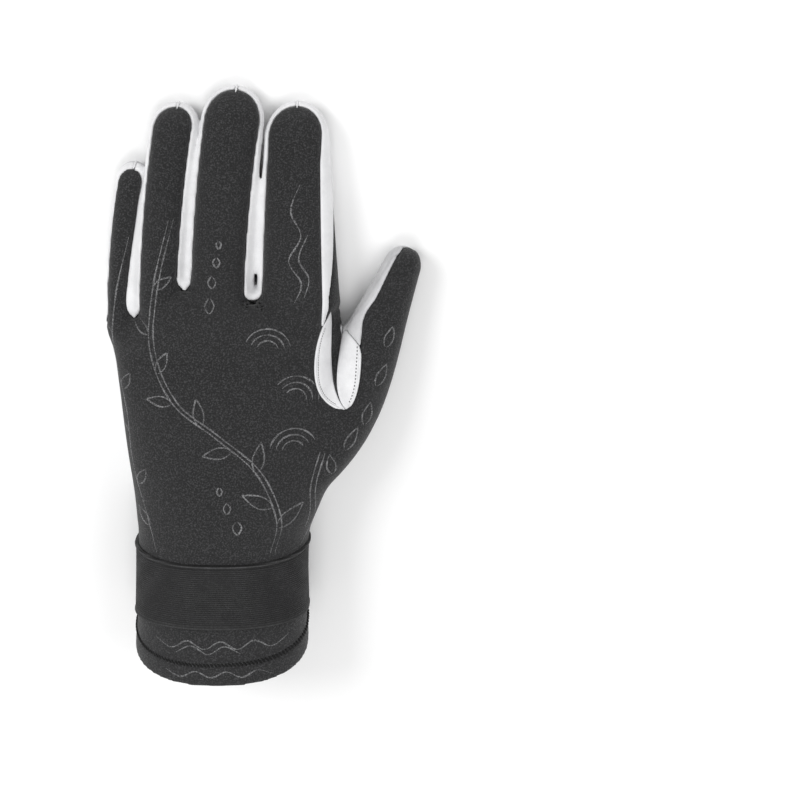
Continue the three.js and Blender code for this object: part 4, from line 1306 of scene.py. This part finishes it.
def ring_angles(count):
    """Angles that step evenly along the cuff's section."""
    fine = np.linspace(0, 2 * math.pi, 1440, endpoint=False)
    points = np.array([band_point(angle, strap_middle, 0.0) for angle in fine])
    lengths = np.linalg.norm(np.roll(points, -1, axis=0) - points, axis=1)
    gone = np.concatenate([[0.0], np.cumsum(lengths)])
    return np.interp(np.linspace(0, gone[-1], count, endpoint=False), gone, np.append(fine, 2 * math.pi))


def hump(at, place, breadth):
    return math.exp(-((at - place) / breadth) ** 2)


def strap_profile():
    """The band's section: places across its width and how far each stands off the cuff."""
    profile = []
    for place in np.arange(0.0, STRAP_WIDTH + 0.01, RIB_PITCH / 6):
        from_edge = min(place, STRAP_WIDTH - place)
        rim = RIM_RISE * hump(from_edge, *RIM_CREST)
        ribbed = float(smoothstep(RIM_WIDTH, RIM_WIDTH + 1.0, from_edge))
        rib = RIB_DEPTH * ribbed * math.cos(2 * math.pi * place / RIB_PITCH)
        dip = RIM_DIP[0] * hump(from_edge - RIM_WIDTH, *RIM_DIP[1:])
        drop = EDGE_DROP * (1 - min(from_edge / EDGE_ROUND, 1.0)) ** 2
        profile.append((STRAP_START + place, BAND_OUTSIDE - BAND_SINK + rim + rib - dip - drop))
    profile += [(STRAP_START + place, BAND_INSIDE) for place in np.linspace(STRAP_WIDTH, 0.0, INSIDE_STEPS)]
    return profile


def grid_faces(rows, columns, close_rows=True, close_columns=True):
    """Quads of a grid of points that may close on itself either way."""
    faces = []
    for row in range(rows if close_rows else rows - 1):
        for column in range(columns if close_columns else columns - 1):
            next_row, next_column = (row + 1) % rows, (column + 1) % columns
            faces.append((row * columns + column, next_row * columns + column,
                          next_row * columns + next_column, row * columns + next_column))
    return faces


def make_strap():
    profile = strap_profile()
    points = [band_point(angle, *row) for angle in ring_angles(STRAP_STEPS) for row in profile]
    faces = grid_faces(STRAP_STEPS, len(profile))
    return add_piece("wrist_strap_band", points, faces, elastic, "wrist_strap")


def make_strap_rims():
    """A rounded cord of elastic along each edge of the band."""
    points, faces = [], []
    angles = ring_angles(STRAP_STEPS)
    for place, radius in RIM_CORDS:
        first = len(points)
        for angle in angles:
            for turn in np.linspace(0, 2 * math.pi, RIM_CORD_SIDES, endpoint=False):
                y = STRAP_START + place + radius * math.sin(turn)
                points.append(band_point(angle, y, BAND_OUTSIDE - 0.1 + radius * math.cos(turn)))
        faces += [tuple(first + corner for corner in face)
                  for face in grid_faces(STRAP_STEPS, RIM_CORD_SIDES)]
    add_piece("strap_rim_cords", points, faces, rim_elastic)


def tab_point(x_share, y_share, stand_off, outside):
    """A place on the tab's sheet. Its outer face is thinner along the edge and has hooks."""
    corner = 1 - TAB_CORNER * (x_share * y_share) ** 6
    x = tab_middle + x_share * TAB_LENGTH / 2 * corner
    y = strap_middle + y_share * (STRAP_WIDTH - 2 * TAB_EDGE) / 2 * corner
    middle, half, top, floor = (float(part) for part in body_section(np.array(y)))
    sideways = min(abs((x - middle) / (half + stand_off)), 0.999)
    flat = (1 - sideways ** FLOOR_ROUNDING) ** (1 / FLOOR_ROUNDING)
    waist = mix(floor, top, WAIST)
    z = waist - flat * (waist - floor + stand_off)
    if outside:
        edge = max(abs(x_share), abs(y_share))
        z += TAB_THINNING * max(0.0, (edge - TAB_BEVEL_START) / (1 - TAB_BEVEL_START)) ** 2
        z -= HOOK_DEPTH * math.cos(2 * math.pi * x / HOOK_PITCH) * (edge < HOOKS_END)
    return x, y, z


def make_tab():
    """The hook tab under the wrist: two sheets over the strap, joined round their border."""
    inside = STRAP_CLEARANCE + STRAP_WALL + TAB_GAP
    rows, columns = TAB_STEPS
    points = [tab_point(x_share, y_share, stand_off, stand_off > inside)
              for stand_off in (inside, inside + TAB_WALL)
              for x_share in np.linspace(-1, 1, rows) for y_share in np.linspace(-1, 1, columns)]
    count = rows * columns
    faces = []
    for face in grid_faces(rows, columns, False, False):
        faces += [face, tuple(corner + count for corner in face[::-1])]
    border = [row * columns for row in range(rows)]
    border += [(rows - 1) * columns + column for column in range(1, columns)]
    border += [row * columns + columns - 1 for row in range(rows - 2, -1, -1)]
    border += list(range(columns - 2, 0, -1))
    for start, end in zip(border, border[1:] + border[:1]):
        faces.append((start + count, end + count, end, start))
    return add_piece("hook_tab_plate", points, faces, hook_tape, "hook_tab")


pieces["wrist_strap"] = make_strap()
make_strap_rims()
pieces["hook_tab"] = make_tab()


# What lies on the cloth: a tree of a piece's faces finds the skin over or under a place. A
# line breaks where the skin jumps or is steeper than STEEPEST, its normal's upright part.
RUN_BREAK = 1.6
RUN_SLACK = 0.6
SHORTEST_RUN = 4
STEEPEST = 0.25
NORMAL_ROUNDS = 4
STITCH_STEEPEST = 0.2
STITCH_SHAPE = [0.55, 0.9, 1, 1, 1, 0.9, 0.55]
STITCH_SINK = 0.1

# Where a line to the skin starts, in metres: over the glove when it goes down, else under it
RAY_START = {-1: 0.2, 1: -0.1}


def skin_tree(names):
    points, faces = [], []
    for name in names:
        mesh = pieces[name].data
        first = len(points)
        points += [vertex.co.copy() for vertex in mesh.vertices]
        faces += [tuple(first + corner for corner in face.vertices) for face in mesh.polygons]
    return BVHTree.FromPolygons(points, faces)


def on_skin(tree, place, way):
    """The skin's point and normal where a line from outside first meets it, or None."""
    start = Vector(to_frame((*place, 0.0)))
    start.z = RAY_START[way]
    point, normal, _, _ = tree.ray_cast(start, Vector((0, 0, way)))
    if point is None:
        return None
    normal = normal if normal.z * way < 0 else -normal
    return from_frame(point), np.array(normal)


def laid_runs(tree, line, way, step):
    """A line laid on the skin, as runs of points and normals that break where the skin ends."""
    places, _ = evenly(line, step)
    longest_step = RUN_BREAK * step + RUN_SLACK
    runs = [[]]
    for found in (on_skin(tree, place, way) for place in places):
        if found is None or (runs[-1] and np.linalg.norm(found[0] - runs[-1][-1][0]) > longest_step):
            runs.append([])
        if found is not None and abs(found[1][2]) > STEEPEST:
            runs[-1].append(found)
    made = []
    for run in runs:
        if len(run) < SHORTEST_RUN:
            continue
        points, normals = (np.array(column) for column in zip(*run))
        for _ in range(NORMAL_ROUNDS):
            normals[1:-1] = (normals[:-2] + normals[1:-1] * 2 + normals[2:]) / 4
        made.append((points, normals / np.linalg.norm(normals, axis=1, keepdims=True)))
    return made


class Trim:
    """Many small solids gathered into one mesh."""

    def __init__(self):
        self.points = []
        self.faces = []

    def sweep(self, path, normals, section, scales):
        """A solid that follows a path. section's places are (sideways, outwards)."""
        first = len(self.points)
        ways = np.gradient(path, axis=0)
        sides = np.cross(ways, normals)
        sides /= np.maximum(np.linalg.norm(sides, axis=1, keepdims=True), 1e-9)
        for point, side, normal, scale in zip(path, sides, normals, scales):
            for across, out in section:
                self.points.append(point + side * across * scale + normal * out * scale)
        count = len(section)
        for face in grid_faces(len(path), count, False, True):
            self.faces.append(tuple(first + corner for corner in face))
        self.faces.append(tuple(range(first, first + count)))
        last = first + (len(path) - 1) * count
        self.faces.append(tuple(range(last + count - 1, last - 1, -1)))

    def sweep_tapered(self, runs, section, ends, thinnest):
        """Runs of a line, each drawn in to its thinnest over one part in ends of its length."""
        for path, normals in runs:
            shares = np.linspace(0, 1, len(path))
            self.sweep(path, normals, section, np.clip(np.minimum(shares, 1 - shares) * ends, thinnest, 1.0))

    def add(self, name, material, slot):
        add_piece(name, self.points, self.faces, material)


def round_section(radius, count=8, out=0.0):
    angles = np.linspace(0, 2 * math.pi, count, endpoint=False)
    return [(radius * math.cos(angle), out + radius * math.sin(angle)) for angle in angles]


def stitch(trim, middle, way, normal, length, radius, rise):
    """One stitch: a short arch of thread whose two ends go down into the cloth."""
    shares = np.linspace(-1, 1, len(STITCH_SHAPE))
    path = np.array([middle + way * share * length / 2 + normal * (rise * (1 - share ** 2) - STITCH_SINK)
                     for share in shares])
    normals = np.repeat(normal[None], len(shares), axis=0)
    trim.sweep(path, normals, round_section(radius, 6), STITCH_SHAPE)


def stitch_row(trim, tree, line, way, pitch, length, radius, rise):
    """A row of stitches along a line."""
    points, ways = evenly(line, pitch)
    for place, along in zip(points, ways):
        found = on_skin(tree, place, way)
        if found is None or abs(found[1][2]) < STITCH_STEEPEST:
            continue
        point, normal = found
        flat = np.array([along[0], along[1], 0.0])
        flat = flat - normal * (flat @ normal)
        stitch(trim, point, flat / np.linalg.norm(flat), normal, length, radius, rise)


back_tree = skin_tree(["back_panel"])
palm_tree = skin_tree(["palm_front", "palm_heel", "thumb_front"])
leaf_tree = skin_tree(["index_web_patch", "thumb_web_patch"])


# Cords over the seams at the fingertips, where the strips of two sides meet
TIP_CORD_START = TIP_MARGIN + 1.1
TIP_CORD_END = math.radians(50)
TIP_CORD_STEPS = 22
TIP_CORD_RADIUS = 0.42
tip_cords = Trim()
for finger in FINGERS:
    path, normals = [], []
    rim = math.acos(1 - TIP_CORD_START / finger.tip_reach)
    for angle in np.linspace(rim, -TIP_CORD_END, TIP_CORD_STEPS):
        along = finger.straight + finger.tip_reach * math.cos(angle)
        _, top, floor = finger.section(along)
        waist = mix(floor, top, WAIST)
        rise = top - waist if angle > 0 else waist - floor
        path.append((*finger.place(along, 0.0), waist + rise * math.sin(angle)))
        out = math.cos(angle) / finger.tip_reach
        normal = np.array([math.sin(finger.lean) * out, math.cos(finger.lean) * out, math.sin(angle) / rise])
        normals.append(normal / np.linalg.norm(normal))
    steps = np.arange(TIP_CORD_STEPS)
    tip_cords.sweep(np.array(path), np.array(normals), round_section(TIP_CORD_RADIUS, 8, 0.12),
                    np.clip(np.minimum(steps, steps[::-1]) / 2, 0.4, 1.0))
tip_cords.add("tip_seam_cords", side_suede, "suede")

# Piping round the two leaves, and their stitches: which part of a leaf's edge, how far inside
# it, and the stitches' pitch, length, radius and rise
PIPING_INSET = 0.55
PIPING_RADIUS = 0.55
LEAF_STITCHES = {
    "thumb_leaf": (slice(4, -4), 1.9, 1.4, 0.85, 0.22, 0.12),
    "index_leaf": (slice(6, -6), 1.7, 1.0, 0.95, 0.17, 0.04),
}
leaf_middle = fork + (-0.1 * FORK_WIDTH, -0.35 * FORK_LENGTH)


def inside_leaf(edge, part, distance):
    """Part of a leaf's edge, moved towards the leaves' middle."""
    line = fork_edge(edge, 60)[part]
    way = leaf_middle - line
    return line + way / np.linalg.norm(way, axis=1, keepdims=True) * distance


piping = Trim()
for edge in ("index_leaf", "thumb_leaf"):
    runs = laid_runs(leaf_tree, inside_leaf(edge, slice(2, None), PIPING_INSET), -1, 0.7)
    piping.sweep_tapered(runs, round_section(PIPING_RADIUS, 8, 0.1), 12, 0.3)
piping.add("leaf_piping", leaf_suede, "suede")

leaf_thread = Trim()
for edge, (part, inset, *sizes) in LEAF_STITCHES.items():
    stitch_row(leaf_thread, leaf_tree, inside_leaf(edge, part, inset), -1, *sizes)
leaf_thread.add("leaf_stitches", grey_thread, "suede")

# White rows on the palm: beside the lifeline seam, along both channels and along its hem
PALM_STITCH = (0.33, 0.25)
palm_thread = Trim()
for line, pitch in (
    (seam(LIFELINE, 16)[6:] + (0.6, 2.6), 2.9),
    (seam(LOWER_CHANNEL, 16), 3.0),
    (seam(UPPER_CHANNEL, 16), 3.0),
    (on_hand(PALM_HEM) + (0, 2.0), 2.4),
):
    stitch_row(palm_thread, palm_tree, line, 1, pitch, pitch * 0.7, *PALM_STITCH)
palm_thread.add("palm_stitches", white_thread, "suede")

# Thick slanted overlock round the cuff, where the hem is folded in. A stitch's slant is its
# share along the glove and round the cuff, its size its length, radius and rise.
OVERLOCK_STITCHES = 128
OVERLOCK_PLACE = 9.4
OVERLOCK_SECTION = 9.0
OVERLOCK_SLANT = (0.75, 0.65)
OVERLOCK_SIZE = (3.0, 0.42, 0.3)
hem_thread = Trim()
for angle in ring_angles(OVERLOCK_STITCHES):
    height = math.copysign(abs(math.sin(angle)) ** (2 / TOP_ROUNDING), math.sin(angle))
    point, middle = cuff_point(angle, OVERLOCK_SECTION, SWELL)
    normal = point - middle
    normal /= np.linalg.norm(normal)
    point[1] = OVERLOCK_PLACE - HEM_SLANT * height
    way = OVERLOCK_SLANT[0] * np.array([0, 1, 0]) + OVERLOCK_SLANT[1] * np.cross(normal, (0, 1, 0))
    stitch(hem_thread, point + normal * 0.25, way / np.linalg.norm(way), normal, *OVERLOCK_SIZE)
hem_thread.add("hem_overlock", black_thread, "neoprene")


# The print, in millimetres: kelp stems with leaves, wave crests and small lozenges in sandy
# lines. Leaves on the stem are a share of it and a side, the thumb's a root, a heading in
# degrees and a length, crests a middle and a turn, lozenges a middle and a size, and the hem's
# waves a start, a pitch, a height, a middle and how many bends. A leaf's length and width on
# the stem are what it has at the root and how much less at the tip.
STEM = [(19, 47), (22, 62), (14, 82), (-3, 97), (-20, 110), (-29, 130), (-27, 156), (-20, 184)]
STEM_LEAVES = [(0.12, 1), (0.2, -1), (0.3, 1), (0.39, -1), (0.49, 1), (0.58, -1), (0.68, 1), (0.77, -1),
               (0.87, 1)]
STEM_LEAF_TURN = 48
STEM_LEAF_LENGTH = (15, 7)
STEM_LEAF_WIDTH = (5.5, 2.4)
SIDE_LEAF_HEADINGS = (128, 62)
SIDE_LEAF_SIZE = (8.5, 3.4)
THUMB_LEAF_WIDTH = 3.8
RIGHT_STEM = [(31, 47), (37, 60), (38, 74), (42, 88)]
SIDE_STEM = [(-28, 47), (-32, 62), (-38, 82), (-40, 104), (-45, 128), (-43, 152), (-37, 176)]
CRESTS = [((29, 90), 20), ((19, 131), 8), ((30, 111), -10)]
CREST_RADII = [4.5, 7.0, 9.5]
CREST_ANGLE = 150
FINGER_WAVES = [
    [(30, 150), (33, 158), (28, 167), (33, 177), (29, 187), (33, 198)],
    [(34, 152), (36, 160), (32, 168), (36, 178)],
]
LOZENGES = [((-4, 150), 3.0), ((-3, 159), 2.6), ((-1, 167), 2.2), ((0, 174), 1.7),
            ((6, 60), 3.0), ((2, 68), 2.4), ((-1, 75), 1.8)]
HEM_WAVES = [(-26, 6.5, 1.4, -4.6, 8), (-30, 7.0, 1.8, 8.5, 9)]
THUMB_LEAVES = [((50, 88), 60, 11), ((58, 98), 74, 10), ((63, 114), 64, 10), ((67, 130), 70, 9),
                ((45, 78), 98, 9)]
PRINT_HALF = 0.36
PRINT_RISE = 0.07
PRINT_SECTION = [(PRINT_HALF, 0.0), (0.55 * PRINT_HALF, PRINT_RISE), (-0.55 * PRINT_HALF, PRINT_RISE),
                 (-PRINT_HALF, 0.0), (0.0, -0.12)]


def leaf_line(root, way, length, width):
    """A closed leaf from its root, pointing along an angle in degrees."""
    angle = math.radians(way)
    forward = np.array([math.cos(angle), math.sin(angle)])
    side = np.array([-forward[1], forward[0]])
    shares = np.linspace(0, 1, 14)[:, None]
    spine = np.asarray(root, float) + forward * length * shares
    bulge = side * (np.sin(math.pi * shares ** 0.8) * width / 2)
    return np.vstack([spine + bulge, (spine - bulge)[::-1]])


def crest_line(middle, radius, start, end):
    angles = np.radians(np.linspace(start, end, 24))
    return np.asarray(middle) + radius * np.stack([np.cos(angles), np.sin(angles)], axis=1)


def lozenge_line(middle, size):
    corners = np.array([(0, 1), (0.62, 0), (0, -1), (-0.62, 0), (0, 1)]) * size
    return spline(np.asarray(middle) + corners, 6)


def print_lines():
    stem = spline(STEM, 10)
    lines = [stem, stem + (2.0, 0.5)]
    for share, side in STEM_LEAVES:
        number = int(share * (len(stem) - 2))
        way = stem[number + 1] - stem[number]
        heading = math.degrees(math.atan2(way[1], way[0])) - side * STEM_LEAF_TURN
        length, width = (most - less * share for most, less in (STEM_LEAF_LENGTH, STEM_LEAF_WIDTH))
        lines.append(leaf_line(stem[number], heading, length, width))
    right_stem = spline(RIGHT_STEM, 10)
    side_stem = spline(SIDE_STEM, 8)
    lines += [right_stem, right_stem[6:] + (-2.0, 0.6), side_stem]
    for number in range(6, len(side_stem) - 8, 7):
        lines.append(leaf_line(side_stem[number], SIDE_LEAF_HEADINGS[number % 2], *SIDE_LEAF_SIZE))
    for middle, turn in CRESTS:
        lines += [crest_line(middle, radius, turn, turn + CREST_ANGLE) for radius in CREST_RADII]
    lines += [spline(wave, 8) for wave in FINGER_WAVES]
    lines += [lozenge_line(middle, size) for middle, size in LOZENGES]
    lines += [leaf_line(root, way, length, THUMB_LEAF_WIDTH) for root, way, length in THUMB_LEAVES]
    for start, pitch, height, middle, count in HEM_WAVES:
        wave = [(start + pitch * bend, height * (-1) ** bend + middle) for bend in range(count)]
        lines.append(spline(wave, 6))
    lines.append(spline([(x + 1.5, y - 2.2) for x, y in wave[1:6]], 6))
    return lines


printed = Trim()
for line in print_lines():
    for path, normals in laid_runs(back_tree, line, -1, 0.8):
        shares = np.linspace(0, 1, len(path))
        scales = np.clip(np.minimum(shares, 1 - shares) * 10, 0.35, 1.0)
        scales = scales * (0.95 + 0.25 * np.sin(np.arange(len(path)) * 0.31 + path[0][0]))
        printed.sweep(path, normals, PRINT_SECTION, scales)
printed.add("sandy_print_lines", sandy_print, "neoprene")


# The pale floor, the soft lights and the camera at the photograph's angle
FLOOR_HALF = 3.0
WORLD_LIGHT = 0.6
SOFTBOXES = [
    ("left softbox", (-0.8, 0.5, 1.0), 0.6, 7.0),
    ("right softbox", (0.9, 0.2, 1.1), 0.8, 3.8),
    ("top softbox", (0.0, -0.5, 1.2), 0.7, 4.3),
]
CAMERA_AIM = Vector((0.0577, -0.0071, 0.015))
CAMERA_TILT = math.radians(18.0)
CAMERA_DISTANCE = 0.75
CAMERA_LENS = 80.6


def make_floor():
    mesh = bpy.data.meshes.new("floor")
    corners = [(x * FLOOR_HALF, y * FLOOR_HALF, 0) for x, y in ((-1, -1), (1, -1), (1, 1), (-1, 1))]
    mesh.from_pydata(corners, [], [(0, 1, 2, 3)])
    floor = bpy.data.objects.new("floor", mesh)
    floor.location.z = -0.0002
    bpy.context.scene.collection.objects.link(floor)
    material, _, shader = new_material("pale floor")
    shader.inputs["Base Color"].default_value = (0.95, 0.95, 0.95, 1.0)
    shader.inputs["Roughness"].default_value = 0.9
    mesh.materials.append(material)


def soft_light(name, location, size, power):
    light = bpy.data.lights.new(name, "AREA")
    light.shape = "DISK"
    light.size = size
    light.energy = power
    lamp = bpy.data.objects.new(name, light)
    lamp.location = location
    lamp.rotation_euler = (-Vector(location)).to_track_quat("-Z", "Y").to_euler()
    bpy.context.scene.collection.objects.link(lamp)


def make_lights():
    world = bpy.data.worlds.new("studio")
    world.use_nodes = True
    background = world.node_tree.nodes["Background"].inputs
    background["Color"].default_value = (1.0, 1.0, 1.0, 1.0)
    background["Strength"].default_value = WORLD_LIGHT
    bpy.context.scene.world = world
    for softbox in SOFTBOXES:
        soft_light(*softbox)


def make_camera():
    data = bpy.data.cameras.new("camera")
    data.sensor_width = 36.0
    data.lens = CAMERA_LENS
    camera = bpy.data.objects.new("camera", data)
    offset = Vector((0.0, math.sin(CAMERA_TILT), math.cos(CAMERA_TILT))) * CAMERA_DISTANCE
    camera.location = CAMERA_AIM + offset
    camera.rotation_euler = (-CAMERA_TILT, 0.0, 0.0)
    bpy.context.scene.collection.objects.link(camera)
    bpy.context.scene.camera = camera


make_floor()
make_lights()
make_camera()
bpy.context.scene.view_settings.view_transform = "Standard"
